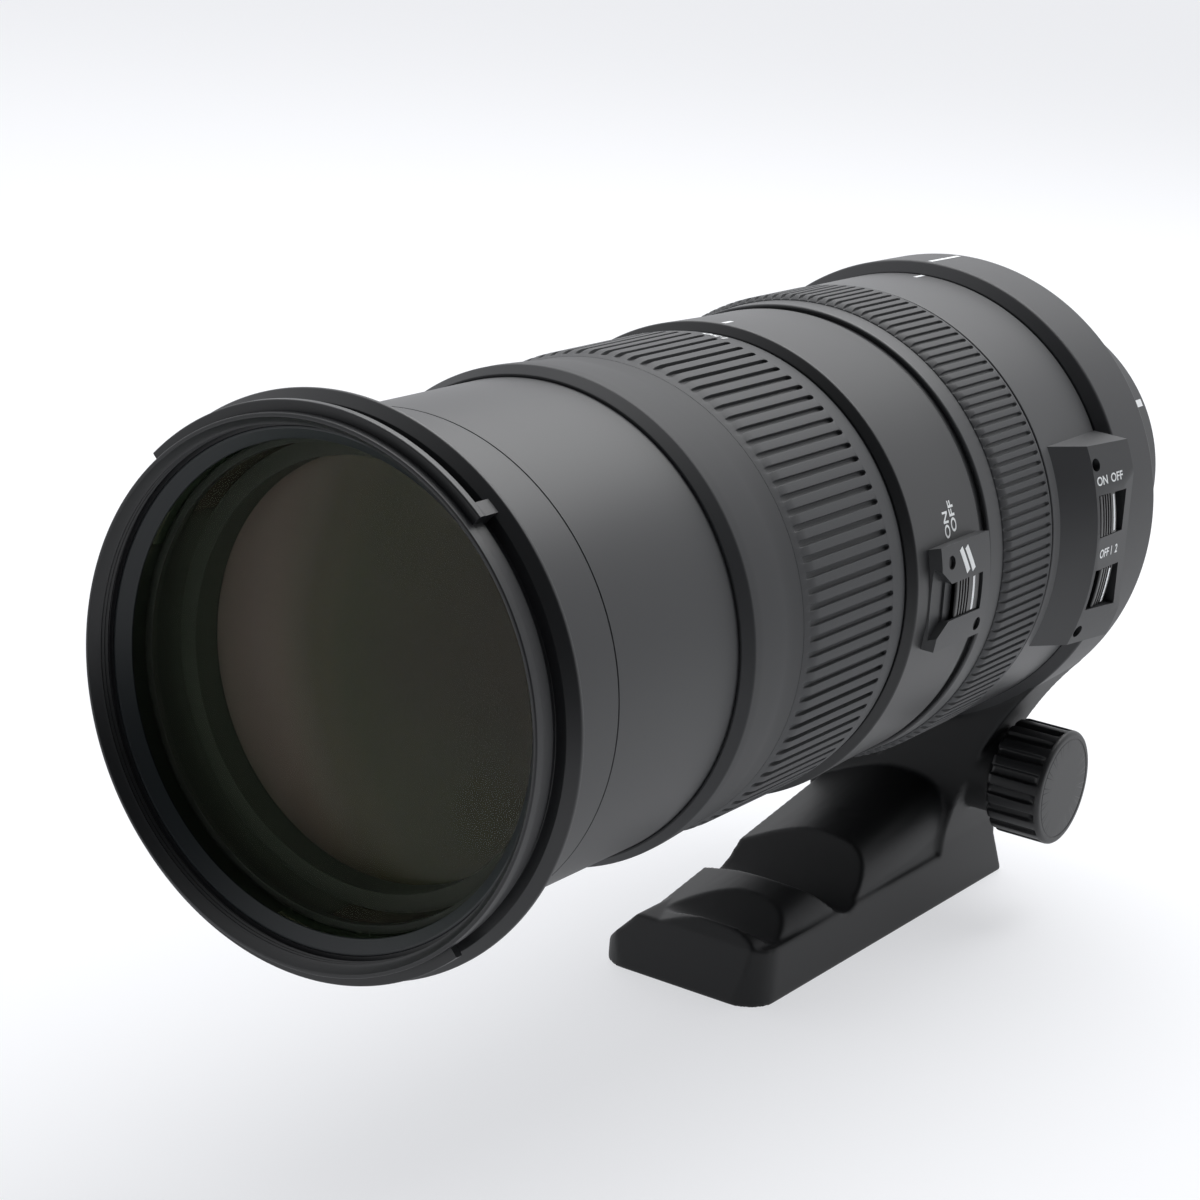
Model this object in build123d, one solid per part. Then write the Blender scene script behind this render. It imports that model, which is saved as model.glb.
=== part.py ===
"""Telephoto zoom lens standing on its tripod foot, in millimetres.

The origin is the centre of the camera-mount face, on the lens axis. +Y runs along the axis
towards the camera, -Y towards the subject, +Z is up, and +X is the side with the switches.
An azimuth is an angle about the axis, from +X towards +Z, in degrees.
"""
import os
from math import cos, degrees, radians, sin

from build123d import *

# Clearances
slide_fit = 0.06
run_fit = 0.05
seat_gap = 0.05
running_gap = 0.3
ring_gap = 0.6
overrun = 2.0

# Stack of outer sections, from the camera mount to the front rim
collar_inset = 36.4
collar_width = 17.0
collar_chamfer = 1.9
rear_barrel_length = 24.5
focus_rubber_length = 19.6
focus_band_length = 5.1
groove_width = 2.1
main_barrel_length = 26.4
main_barrel_chamfer = 1.1
zoom_rubber_length = 35.6
zoom_band_length = 17.2
lip_chamfer = 2.2
tube_visible_length = 52.9
front_rim_length = 8.2

# The sliding front tube, and the walls and gaps that nest inside and outside it
tube_radius = 42.0
tube_wall = 0.8
cam_gap = 1.4
cam_wall = 1.55
guide_wall = 1.2
sleeve_wall = 0.65
barrel_bore_gap = 0.45
neck_wall = 0.8
groove_depth = 0.3
focus_sleeve_wall = 0.7

# Heights of the outer surfaces above the walls that carry them
zoom_rubber_height = 0.95
zoom_margin_height = 0.25
lip_height = 0.95
waist_height = 0.15
main_front_height = 0.8
main_rear_height = 0.2
focus_band_step = 0.2
focus_rubber_height = 1.0
rear_barrel_height = 0.8
collar_seat_step = 0.75
collar_height = 2.4

# Grip ribs
zoom_rib_count = 100
zoom_rib_depth = 0.5
zoom_rib_margin = 6.2
zoom_rib_lead = 2.6
focus_rib_count = 144
focus_rib_depth = 0.5
focus_rib_lead = 2.0
focus_rib_tail = 0.8
groove_share = 0.36

# Front bezel with its hood bayonet and filter thread
filter_bore_step = 0.6
filter_mouth = 0.5
filter_thread_length = 1.8
filter_depth = 3.9
rim_wall = 1.7
rim_land = 4.6
rim_groove_width = 1.8
rim_groove_depth = 0.6
rim_flange_height = 3.05
rim_chamfer = 0.35
tab_inset = 1.8
tab_length = 3.0
tab_height = 2.0
tab_angle = 86.5
tab_azimuths = (49.5, -133.5)
front_ring_step = 0.55
front_ring_length = 2.1
front_ring_face = 0.7
front_ring_lip = 0.2

# Every lens element has a flat bevel around its curved faces
glass_bevel = 0.35

# Front lens cell
front_cell_wall = 1.1
front_glass_edge = 3.4
front_glass_bulge = 3.6
front_glass_back_hollow = 1.2
front_air_gap = 1.1
second_glass_step = 1.4
second_glass_edge = 6.0
second_glass_front_hollow = 2.6
second_glass_back_hollow = 1.5
cell_rib_length = 5.5
cell_rib_step = 2.5
third_glass_step = 0.6
third_glass_edge = 4.0
third_glass_front_hollow = 1.4
third_glass_back_bulge = 1.2
front_cell_tail = 2.6
seam_inset = 17.2
seam_width = 0.35
seam_depth = 0.15

# Zoom motion
zoom_travel = 80.0
zoom_turn_angle = 110.0
tube_tail = 33.9
follower_inset = 4.0
follower_radius = 2.5
follower_stud_radius = 1.2
slot_clearance = 0.15
slot_end_relief = 0.03
follower_azimuths = (30.0, 150.0, 270.0)
cam_front_inset = 0.7
cam_rear = 70.0
key_front_gap = 2.0
key_length = 3.5
key_width = 8.0
key_azimuth = 0.0
sleeve_tail_cover = 0.5
bearing_land = 5.0

# Guide tube
guide_front_inset = 0.3
guide_rear = 30.0
guide_flange_front = 60.0
guide_flange_length = 3.0

# Variator group
variator_front = 88.0
variator_length = 14.0
variator_travel = 12.0
variator_pin_radius = 2.0
variator_azimuths = (90.0, 210.0, 330.0)
variator_rim_wall = 2.4
variator_web = 4.0
variator_hub_wall = 2.6
variator_glass_step = 11.0
variator_shoulder = 1.5
variator_front_edge = 3.5
variator_rear_edge = 4.5
variator_hollow = 1.6

# Iris
iris_front = 72.0
iris_plate = 1.0
iris_length = 7.0
iris_wall = 1.0
iris_pivot_step = 6.0
iris_blade_step = 2.5
iris_blade_width = 7.0
iris_lip = 1.0
iris_ring_overlap = 1.5
iris_blade_count = 9
iris_post_radius = 0.8
iris_blade_angle = 75.0
iris_blade_thickness = 0.15
iris_blade_pitch = 0.45
iris_ear_radius = 2.0
iris_pin_offset = 3.5
iris_pin_radius = 0.5
iris_ring_length = 0.8
iris_slot_width = 1.3

# Stabiliser
stabiliser_front = 63.5
stabiliser_length = 5.0
stabiliser_floor = 1.2
stabiliser_travel = 1.0
stabiliser_across_share = 0.652
stabiliser_upright_share = 0.705
carriage_side = 3.75
carriage_bridge = 3.4
stabiliser_cell_wall = 2.0
stabiliser_cell_room = 0.6
stabiliser_glass_bulge = 0.9

# Focusing group
focus_front = 48.0
focus_cell_length = 12.0
focus_travel = 6.0
focus_turn_angle = 100.0
focus_pin_radius = 2.0
focus_azimuths = (30.0, 150.0, 270.0)
focus_glass_step = 17.0
focus_shoulder = 1.5
focus_glass_edge = 3.5
focus_glass_bulge = 1.3
focus_cam_front = 55.0
focus_cam_rear = 34.0
link_azimuth = 170.0
link_angle = 14.0
link_front = 88.0
link_arm_length = 4.0
link_tail = 2.5
link_inner_gap = 1.0
link_thickness = 1.2
motor_front = 51.0
stator_length = 7.0
rotor_length = 3.5

# Rear group and camera mount
rear_cell_front = 28.0
rear_cell_wall = 2.4
rear_cell_flange_room = 1.65
rear_cell_flange = 2.5
rear_glass_radius = 16.0
rear_glass_edge = 4.0
rear_glass_bulge = 1.4
last_glass_front = 16.5
board_step = 0.5
board_width = 9.0
board_thickness = 1.6
chip_height = 1.2
chip_width = 7.0
chip_azimuths = (20.0, 75.0, 200.0, 290.0)
barrel_end_wall = 2.0
barrel_end_inset = 1.0
barrel_end_length = 6.0
seat_tail = 2.4
end_web_step = 3.0
end_web_length = 3.0
barrel_wall = 1.85
bayonet_bore = 20.0
bayonet_wall = 2.0
bayonet_length = 5.0
mount_plate_margin = 4.0
mount_plate_thickness = 3.0
lug_height = 1.6
lug_inset = 2.2
lug_thickness = 2.0
lug_angle = 55.0
lug_count = 3
mount_screw_step = 5.0
mount_screw_count = 4
mount_screw_head = 2.2
mount_screw_head_length = 1.2
mount_screw_radius = 1.0
lock_notch_width = 2.6
lock_notch_depth = 1.5
lock_notch_azimuth = 200.0
baffle_inset = 1.0
baffle_thickness = 1.4
baffle_window_x = 24.0
baffle_window_z = 18.0
contact_arc = (-120.0, -60.0)
contact_block_height = 2.4
contact_count = 8
contact_radius = 0.45
contact_reach = 0.5

# Lock panel beside the zoom ring
lock_azimuths = (-9.5, 14.3)
lock_front_inset = 5.6
lock_length = 20.2
lock_front_slope = 1.2
lock_height = 2.6
lock_seat_cut = 0.1
lock_window_azimuth = 1.3
lock_window_width = 6.9
lock_window_front = 4.8
lock_window_length = 12.4
lock_scoop_width = 17.0
lock_scoop_depth = 1.5
lock_slider_length = 9.4
lock_slider_travel = 2.4
lock_slider_sink = 0.4
lock_screw_azimuths = (10.3, -6.7)
lock_screw_insets = (5.0, 17.3)

# Switch panel on the rear barrel
switch_base_azimuths = (-24.5, 29.5)
switch_top_azimuths = (-20.5, 23.0)
switch_front_inset = 3.1
switch_front_slope = 7.8
switch_front_height = 4.3
switch_rear_height = 6.3
switch_rear_inset = 0.3
switch_floor_height = 2.4
switch_window_width = 8.2
switch_window_front = 11.8
switch_window_length = 10.2
focus_switch_azimuth = 9.0
focus_slider_length = 7.4
focus_slider_travel = 2.4
stabiliser_switch_azimuth = -8.0
stabiliser_slider_length = 5.4
stabiliser_slider_travel = 2.2
switch_slider_height = 4.5
switch_screw_azimuths = (20.6, -18.4)
switch_screw_inset = 12.4

# Sliders are T-shaped: a wide base runs under the window's edges
slider_base_height = 0.7
slider_base_extra = 1.4
slider_side_gap = 0.08
slider_rib_count = 4
slider_rib_depth = 0.3
slider_rib_width = 0.5
slider_rib_pitch = 1.1

# Small panel screws
panel_screw_head = 1.25
panel_screw_head_length = 0.8
panel_screw_radius = 0.6
panel_screw_reach = 2.1
lock_screw_sink = 0.5
switch_screw_sink = 1.8

# Tripod collar and foot
foot_clearance = 38.6
foot_half_width = 18.7
foot_length = 106.2
foot_tail = 12.6
foot_corner = 7.0
foot_rear_corner = 1.0
foot_wall_height = 11.8
foot_dome_sides = (17.7, 17.5, 15.9, 9.5, 3.0, -5.6, -11.8)
foot_dome_heights = (11.0, 16.6, 19.9, 22.2, 22.1, 19.4, 16.6)
foot_dome_fall = 0.18
foot_dome_inset = 44.0
foot_left_crest = -10.5
foot_left_wall = 3.0
foot_crest_heights = (15.2, 18.8, 22.6)
foot_trough_heights = (12.2, 12.7)
foot_crest_insets = (2.6, 18.5, 44.0)
foot_trough_insets = (9.5, 29.5)
foot_front_lean = 1.3
neck_ramp_insets = (54.0, 66.0, 76.0)
neck_ramp_heights = (24.0, 29.5, 40.0)
neck_toe = 0.4
neck_front_height = 17.0
neck_back_height = 27.0
neck_heel = 6.4
neck_rear_height = 10.5
flare_width_share = 0.754
flare_drop_share = 0.651
flare_middle_half_width = 25.9
flare_middle_rise = 1.4
flare_foot_height = 14.4
flare_left_waist = 13.0
flare_left_waist_height = 16.5
clamp_slit = 1.2
clamp_slit_height = 29.6
base_thread_radius = 3.2
base_thread_depth = 8.5
base_thread_inset = 46.0

# Clamp knob
knob_setback = 8.6
knob_clearance = 8.6
knob_radius = 12.2
knob_tuck = 8.6
knob_length = 12.4
knob_lobe_count = 18
knob_groove_radius = 1.1
knob_chamfer = 0.8
boss_radius = 9.0
boss_gap = 0.5
stud_radius = 3.0
stud_reach = 14.0
stud_sink = 4.0
stud_clearance = 0.3

# Places along the axis, worked out from the stack
collar_rear_y = -collar_inset
collar_front_y = collar_rear_y - collar_width - collar_chamfer
barrel_step_y = collar_front_y - ring_gap
rear_barrel_front_y = barrel_step_y - rear_barrel_length
focus_rear_y = rear_barrel_front_y - ring_gap
focus_rubber_front_y = focus_rear_y - focus_rubber_length
focus_front_y = focus_rubber_front_y - focus_band_length
main_rear_y = focus_front_y - groove_width
main_shoulder_y = main_rear_y - main_barrel_length
main_front_y = main_shoulder_y - main_barrel_chamfer
zoom_rear_y = main_front_y - ring_gap
zoom_rubber_front_y = zoom_rear_y - zoom_rubber_length
lip_shoulder_y = zoom_rubber_front_y - zoom_band_length
zoom_front_y = lip_shoulder_y - lip_chamfer
tube_front_y = zoom_front_y - tube_visible_length
rim_y = tube_front_y - front_rim_length
tube_rear_y = zoom_rear_y + tube_tail
follower_y = tube_rear_y - follower_inset

foot_rear_y = collar_rear_y + foot_tail
foot_front_y = foot_rear_y - foot_length
neck_front_y = collar_front_y - neck_toe
neck_rear_y = collar_rear_y + neck_heel
knob_y = collar_rear_y - knob_setback

# Radii worked out from the nest
tube_inner = tube_radius - tube_wall
cam_outer = tube_inner - cam_gap
cam_inner = cam_outer - cam_wall
guide_outer = cam_inner - run_fit
guide_inner = guide_outer - guide_wall
sleeve_inner = tube_radius + running_gap
sleeve_outer = sleeve_inner + sleeve_wall
barrel_inner = sleeve_outer + barrel_bore_gap
neck_outer = barrel_inner + neck_wall
focus_sleeve_inner = neck_outer + running_gap
focus_sleeve_outer = focus_sleeve_inner + focus_sleeve_wall

# Radii of the outer surfaces
zoom_rubber_radius = sleeve_outer + zoom_rubber_height
zoom_margin_radius = sleeve_outer + zoom_margin_height
lip_radius = sleeve_outer + lip_height
waist_radius = sleeve_outer + waist_height
main_front_radius = neck_outer + main_front_height
main_rear_radius = neck_outer + main_rear_height
focus_band_radius = focus_sleeve_outer - focus_band_step
focus_rubber_radius = focus_sleeve_outer + focus_rubber_height
rear_barrel_radius = focus_sleeve_outer + rear_barrel_height
collar_seat_radius = rear_barrel_radius - collar_seat_step
collar_radius = rear_barrel_radius + collar_height
filter_bore_radius = tube_radius + filter_bore_step
rim_radius = filter_bore_radius + rim_wall
rim_groove_radius = rim_radius - rim_groove_depth
rim_flange_radius = rim_radius + rim_flange_height
tab_radius = rim_radius + tab_height
front_ring_radius = filter_bore_radius - front_ring_step
lock_top_radius = main_rear_radius + lock_height
lock_slider_top = lock_top_radius - lock_slider_sink
switch_front_radius = rear_barrel_radius + switch_front_height
switch_rear_radius = rear_barrel_radius + switch_rear_height
switch_floor = rear_barrel_radius + switch_floor_height
switch_slider_top = rear_barrel_radius + switch_slider_height

# Radii of the glass, the iris and the stabiliser inside the tubes
front_glass_radius = tube_inner - front_cell_wall - 2 * seat_gap
second_glass_radius = front_glass_radius - second_glass_step
third_glass_radius = second_glass_radius - third_glass_step
cell_rib_radius = third_glass_radius - cell_rib_step
variator_glass_radius = guide_inner - variator_glass_step
focus_glass_radius = guide_inner - focus_glass_step
iris_pivot_radius = guide_inner - iris_pivot_step
iris_blade_outer = iris_pivot_radius - iris_blade_step
iris_blade_inner = iris_blade_outer - iris_blade_width
iris_opening = iris_blade_inner - iris_lip
iris_ring_inner = iris_blade_outer - iris_ring_overlap
stabiliser_pocket_x = guide_inner * stabiliser_across_share
stabiliser_pocket_z = guide_inner * stabiliser_upright_share
carriage_x = stabiliser_pocket_x - stabiliser_travel - running_gap
carriage_z = stabiliser_pocket_z - run_fit
carriage_window_x = carriage_x - carriage_side
carriage_window_z = carriage_z - carriage_bridge
stabiliser_cell_z = carriage_window_z - stabiliser_travel - stabiliser_cell_room
stabiliser_glass_radius = carriage_window_x - stabiliser_cell_wall

# Radii of the camera mount and what it closes
bayonet_radius = bayonet_bore + bayonet_wall
lug_radius = bayonet_radius + lug_height
contact_block_inner = bayonet_bore - contact_block_height
mount_screw_circle = bayonet_radius + mount_screw_step
mount_plate_radius = mount_screw_circle + mount_plate_margin
end_web_radius = mount_screw_circle - end_web_step
barrel_end_radius = mount_plate_radius + barrel_end_wall
rear_cell_flange_radius = barrel_end_radius - barrel_wall - rear_cell_flange_room
board_radius = rear_cell_flange_radius - board_step
board_bore = board_radius - board_width

# Places of the foot and the knob, from the lens axis
knob_face = collar_radius - knob_tuck
foot_base_z = -collar_radius - foot_clearance
knob_z = -collar_radius - knob_clearance

pieces = {}


def turned(outline):
    """A solid turned about the lens axis from an outline of (radius, place along the axis)."""
    return revolve(make_face(Polyline(*outline, close=True)), Axis.Y, 360)


def sector(outline, start, end):
    """Part of a turned solid between two azimuths."""
    part = revolve(make_face(Polyline(*outline, close=True)), Axis.Y, end - start)
    return Rot(0, -end, 0) * part


def tube(inner, outer, front, rear):
    return turned([(inner, front), (outer, front), (outer, rear), (inner, rear)])


def tube_sector(inner, outer, front, rear, start, end):
    return sector([(inner, front), (outer, front), (outer, rear), (inner, rear)], start, end)


def at_azimuth(azimuth, shape):
    return Rot(0, -azimuth, 0) * shape


def block(azimuth, inner, outer, front, rear, width):
    """A straight block that stands out from the axis at an azimuth."""
    box = Box(outer - inner, rear - front, width)
    return at_azimuth(azimuth, Pos((inner + outer) / 2, (front + rear) / 2, 0) * box)


def radial_pin(azimuth, inner, outer, place, radius):
    pin = Rot(0, 90, 0) * Cylinder(radius, outer - inner)
    return at_azimuth(azimuth, Pos((inner + outer) / 2, place, 0) * pin)


def axial_pin(azimuth, circle, front, rear, radius):
    pin = Rot(90, 0, 0) * Cylinder(radius, rear - front)
    return at_azimuth(azimuth, Pos(circle, (front + rear) / 2, 0) * pin)


def sagitta(clear, bulge):
    """How far a spherical face with this bulge still stands out at half its radius."""
    sphere = (clear ** 2 + bulge ** 2) / (2 * abs(bulge))
    drop = sphere - (sphere ** 2 - (clear / 2) ** 2) ** 0.5
    return bulge - drop if bulge > 0 else bulge + drop


def glass(radius, front, rear, front_bulge, rear_bulge):
    """A lens element; a bulge is positive where that face is convex."""
    clear = radius - glass_bevel
    front_mid = front - sagitta(clear, front_bulge)
    rear_mid = rear + sagitta(clear, rear_bulge)
    outline = [
        ThreePointArc((0, front - front_bulge), (clear / 2, front_mid), (clear, front)),
        Polyline((clear, front), (radius, front), (radius, rear), (clear, rear)),
        ThreePointArc((clear, rear), (clear / 2, rear_mid), (0, rear + rear_bulge)),
        Line((0, rear + rear_bulge), (0, front - front_bulge)),
    ]
    return revolve(make_face(outline), Axis.Y, 360)


def straight_slot(azimuth, inner, outer, front, rear, radius):
    """A slot along the axis with round ends, cut through a tube wall."""
    slot = block(azimuth, inner, outer, front, rear, 2 * radius)
    slot += radial_pin(azimuth, inner, outer, front, radius)
    return slot + radial_pin(azimuth, inner, outer, rear, radius)


def cam_slot(azimuth, inner, outer, rear, travel, turn, radius):
    """A slot that climbs forward by the travel while the azimuth changes by the turn."""
    middle = (inner + outer) / 2
    path = Helix(travel * 360 / abs(turn), travel, middle, lefthand=turn < 0)
    start = Plane(origin=path @ 0, x_dir=(1, 0, 0), z_dir=path % 0)
    width = 2 * (radius - slot_end_relief)
    run = sweep(start * Rectangle(outer - inner, width), path, is_frenet=True)
    run = at_azimuth(azimuth, Pos(0, rear, 0) * Rot(90, 0, 0) * run)
    low = inner - overrun / 8
    high = outer + overrun / 8
    run += radial_pin(azimuth, low, high, rear, radius)
    return run + radial_pin(azimuth + turn, low, high, rear - travel, radius)


def ribbed(outline, count, depth, front, rear, radius):
    """A turned grip with grooves along the axis between two places."""
    grip = turned(outline)
    pitch = 360 / count
    half = pitch * groove_share / 2
    floor = radius - depth
    reach = radius + depth
    corners = []
    for index in range(count):
        middle = index * pitch
        for angle, distance in ((middle - half, reach), (middle - half, floor),
                                (middle + half, floor), (middle + half, reach)):
            corners.append((distance * cos(radians(angle)), distance * sin(radians(angle))))
    outer = reach + depth
    band = Circle(outer) - make_face(Polyline(*corners, close=True))
    cutter = extrude(Plane.XZ.offset(-rear) * band, rear - front)
    return grip - cutter


def slider(azimuth, floor, top, front, length, width):
    """A T-shaped thumb slider with cross ribs on its front end."""
    low = floor + run_fit
    shelf = low + slider_base_height
    base = block(azimuth, low, shelf, front, front + length, width + slider_base_extra)
    stem = block(azimuth, low, top, front, front + length, width)
    body = base + stem
    for index in range(slider_rib_count):
        rib_front = front + slider_rib_pitch * (index + 1)
        rib = block(azimuth, top - slider_rib_depth, top + overrun, rib_front,
                    rib_front + slider_rib_width, width)
        body -= rib
    return body


def slider_pocket(azimuth, floor, top, front, length, width):
    """The window and the wider channel below its edges that hold a slider."""
    side = 2 * slider_side_gap
    shelf = floor + run_fit + slider_base_height + slider_side_gap
    channel = block(azimuth, floor, shelf, front, front + length, width + slider_base_extra + side)
    return channel + block(azimuth, floor, top + overrun, front, front + length, width + side)


def panel_screw(azimuth, head_top, place):
    """A small panel screw, head and shank in one."""
    seat = head_top - panel_screw_head_length
    head = radial_pin(azimuth, seat, seat + panel_screw_head_length, place, panel_screw_head)
    shank = radial_pin(azimuth, seat - panel_screw_reach, seat, place, panel_screw_radius)
    return head + shank


def screw_hole(azimuth, head_top, place):
    seat = head_top - panel_screw_head_length
    sink = radial_pin(azimuth, seat, head_top + 2 * overrun, place, panel_screw_head + seat_gap)
    shank = radial_pin(azimuth, seat - panel_screw_reach, seat, place, panel_screw_radius)
    return sink + shank


def front_bezel():
    """Black front ring: hood bayonet outside, filter thread inside."""
    land_y = rim_y + rim_land
    flange_y = land_y + rim_groove_width
    ring_y = rim_y + filter_depth
    seat_y = ring_y + front_ring_length
    seat = front_ring_radius + seat_gap
    mouth = filter_bore_radius + filter_mouth
    thread_y = rim_y + filter_mouth
    relief_y = thread_y + filter_thread_length
    body = turned([
        (mouth, rim_y), (rim_radius, rim_y), (rim_radius, land_y),
        (rim_groove_radius, land_y), (rim_groove_radius, flange_y),
        (rim_flange_radius - rim_chamfer, flange_y), (rim_flange_radius, flange_y + rim_chamfer),
        (rim_flange_radius, tube_front_y - rim_chamfer),
        (rim_flange_radius - rim_chamfer, tube_front_y), (tube_inner, tube_front_y),
        (tube_inner, seat_y), (seat, seat_y), (seat, ring_y), (mouth, ring_y), (mouth, relief_y),
        (filter_bore_radius, relief_y), (filter_bore_radius, thread_y),
    ])
    tab_y = rim_y + tab_inset
    for start in tab_azimuths:
        body += tube_sector(rim_groove_radius, tab_radius, tab_y, tab_y + tab_length,
                            start, start + tab_angle)
    return body


def front_retaining_ring():
    """Sloping ring that holds the front element in its cell."""
    front = rim_y + filter_depth
    rear = front + front_ring_length
    outer = front_ring_radius
    inner = front_glass_radius - glass_bevel
    return turned([
        (outer, front), (outer - front_ring_face, front), (inner, rear - front_ring_lip),
        (inner, rear), (outer, rear),
    ])


def front_group():
    """The cell with three elements that rides in the front of the tube."""
    seat = rim_y + filter_depth + front_ring_length
    first_rear = seat + front_glass_edge
    second_front = first_rear + front_air_gap
    second_rear = second_front + second_glass_edge
    rib_rear = second_rear + cell_rib_length
    third_rear = rib_rear + third_glass_edge
    tail = third_rear + front_cell_tail
    outer = tube_inner - seat_gap
    pieces["front_cell"] = turned([
        (front_glass_radius + seat_gap, seat), (outer, seat), (outer, tail),
        (third_glass_radius + seat_gap, tail), (third_glass_radius + seat_gap, rib_rear),
        (cell_rib_radius, rib_rear), (cell_rib_radius, second_rear),
        (second_glass_radius + seat_gap, second_rear), (second_glass_radius + seat_gap, first_rear),
        (front_glass_radius + seat_gap, first_rear),
    ])
    pieces["front_element_1"] = glass(front_glass_radius, seat, first_rear,
                                      front_glass_bulge, -front_glass_back_hollow)
    pieces["front_element_2"] = glass(second_glass_radius, second_front, second_rear,
                                      -second_glass_front_hollow, -second_glass_back_hollow)
    pieces["front_element_3"] = glass(third_glass_radius, rib_rear, third_rear,
                                      -third_glass_front_hollow, third_glass_back_bulge)


def front_tube():
    """Smooth tube that slides out of the zoom ring, with a fine seam behind the bezel."""
    body = tube(tube_inner, tube_radius, tube_front_y, tube_rear_y)
    seam = tube_front_y + seam_inset
    body -= tube(tube_radius - seam_depth, tube_radius + overrun, seam, seam + seam_width)
    for azimuth in follower_azimuths:
        body -= radial_pin(azimuth, tube_inner - overrun, tube_radius + overrun, follower_y,
                           follower_stud_radius)
    return body


def cam_followers():
    """Three rollers at the back of the front tube, each with its stud."""
    inner = guide_inner + run_fit
    outer = tube_inner - 2 * seat_gap - tube_wall / 8
    group = []
    for azimuth in follower_azimuths:
        roller = radial_pin(azimuth, inner, outer, follower_y, follower_radius)
        stud = radial_pin(azimuth, outer, tube_radius - seat_gap, follower_y, follower_stud_radius)
        group.append(roller + stud)
    return Compound(group)


def zoom_sleeve():
    """Metal sleeve of the zoom ring with its flared front lip."""
    rear = tube_rear_y + key_front_gap + key_length + sleeve_tail_cover
    lip_bore = tube_radius + slide_fit
    waist_y = zoom_rubber_front_y - zoom_band_length / 8
    outline = [
        Line((lip_bore, zoom_front_y), (lip_radius - lip_chamfer / 2, zoom_front_y)),
        Line((lip_radius - lip_chamfer / 2, zoom_front_y), (lip_radius, lip_shoulder_y)),
        Line((lip_radius, lip_shoulder_y), (lip_radius, lip_shoulder_y + lip_chamfer)),
        ThreePointArc((lip_radius, lip_shoulder_y + lip_chamfer),
                      ((lip_radius + waist_radius) / 2 - seat_gap,
                       (lip_shoulder_y + waist_y + lip_chamfer) / 2),
                      (waist_radius, waist_y)),
        Polyline((waist_radius, waist_y), (waist_radius, zoom_rubber_front_y),
                 (sleeve_outer, zoom_rubber_front_y), (sleeve_outer, rear), (sleeve_inner, rear),
                 (sleeve_inner, lip_shoulder_y + lip_chamfer),
                 (lip_bore, lip_shoulder_y + lip_chamfer), (lip_bore, zoom_front_y)),
    ]
    return revolve(make_face(outline), Axis.Y, 360)


def zoom_rubber():
    """Coarse ribbed grip; its plain rear margin carries the focal-length figures."""
    rib_front = zoom_rubber_front_y + zoom_rib_lead
    rib_rear = zoom_rear_y - zoom_rib_margin
    floor = zoom_rubber_radius - zoom_rib_depth
    half_lead = zoom_rib_lead / 2
    outline = [
        (sleeve_outer, zoom_rubber_front_y), (waist_radius, zoom_rubber_front_y),
        (floor, zoom_rubber_front_y + half_lead), (zoom_rubber_radius, rib_front + half_lead),
        (zoom_rubber_radius, rib_rear + zoom_rib_lead), (zoom_margin_radius, zoom_rear_y),
        (sleeve_outer, zoom_rear_y),
    ]
    return ribbed(outline, zoom_rib_count, zoom_rib_depth, rib_front - half_lead, rib_rear,
                  zoom_rubber_radius)


def cam_barrel():
    """Rotating barrel with three long slots for the tube and three short ones for the variator."""
    body = tube(cam_inner, cam_outer, zoom_front_y - cam_front_inset, -cam_rear)
    inner, outer = cam_inner - overrun / 2, cam_outer + overrun / 2
    for azimuth in follower_azimuths:
        body -= cam_slot(azimuth, inner, outer, follower_y, zoom_travel, zoom_turn_angle,
                         follower_radius + slot_clearance)
    for azimuth in variator_azimuths:
        body -= cam_slot(azimuth, inner, outer, -variator_front + variator_length / 2,
                         variator_travel, zoom_turn_angle, variator_pin_radius + slot_clearance)
    return body


def zoom_key():
    """Key that ties the zoom sleeve to the cam barrel behind the front tube."""
    front = tube_rear_y + key_front_gap
    rear = front + key_length
    return (block(key_azimuth, cam_outer - overrun, sleeve_inner + overrun, front, rear, key_width)
            & tube(cam_outer, sleeve_inner, front, rear))


def guide_tube():
    """Fixed inner tube with the straight slots that keep every group from turning."""
    front = zoom_front_y + guide_front_inset
    flange_y = -guide_flange_front
    body = tube(guide_inner, guide_outer, front, -guide_rear)
    body += tube(guide_inner, barrel_inner - seat_gap, flange_y, flange_y + guide_flange_length)
    inner, outer = guide_inner - overrun / 2, guide_outer + overrun / 8
    for azimuth in follower_azimuths:
        body -= straight_slot(azimuth, inner, outer, follower_y - zoom_travel, follower_y,
                              follower_radius + slot_clearance)
        place = -focus_front + focus_cell_length / 2
        body -= straight_slot(azimuth, inner, outer, place - focus_travel, place,
                              focus_pin_radius + slot_clearance)
    for azimuth in variator_azimuths:
        place = -variator_front + variator_length / 2
        body -= straight_slot(azimuth, inner, outer, place - variator_travel, place,
                              variator_pin_radius + slot_clearance)
    link_inner = cam_outer + link_inner_gap - running_gap
    link_outer = cam_outer + link_inner_gap + link_thickness + running_gap
    margin = link_angle / 2 + degrees(running_gap * 2 / link_inner)
    body -= tube_sector(link_inner, link_outer, flange_y - overrun,
                        flange_y + guide_flange_length + overrun,
                        link_azimuth - margin, link_azimuth + focus_turn_angle + margin)
    return body


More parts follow.
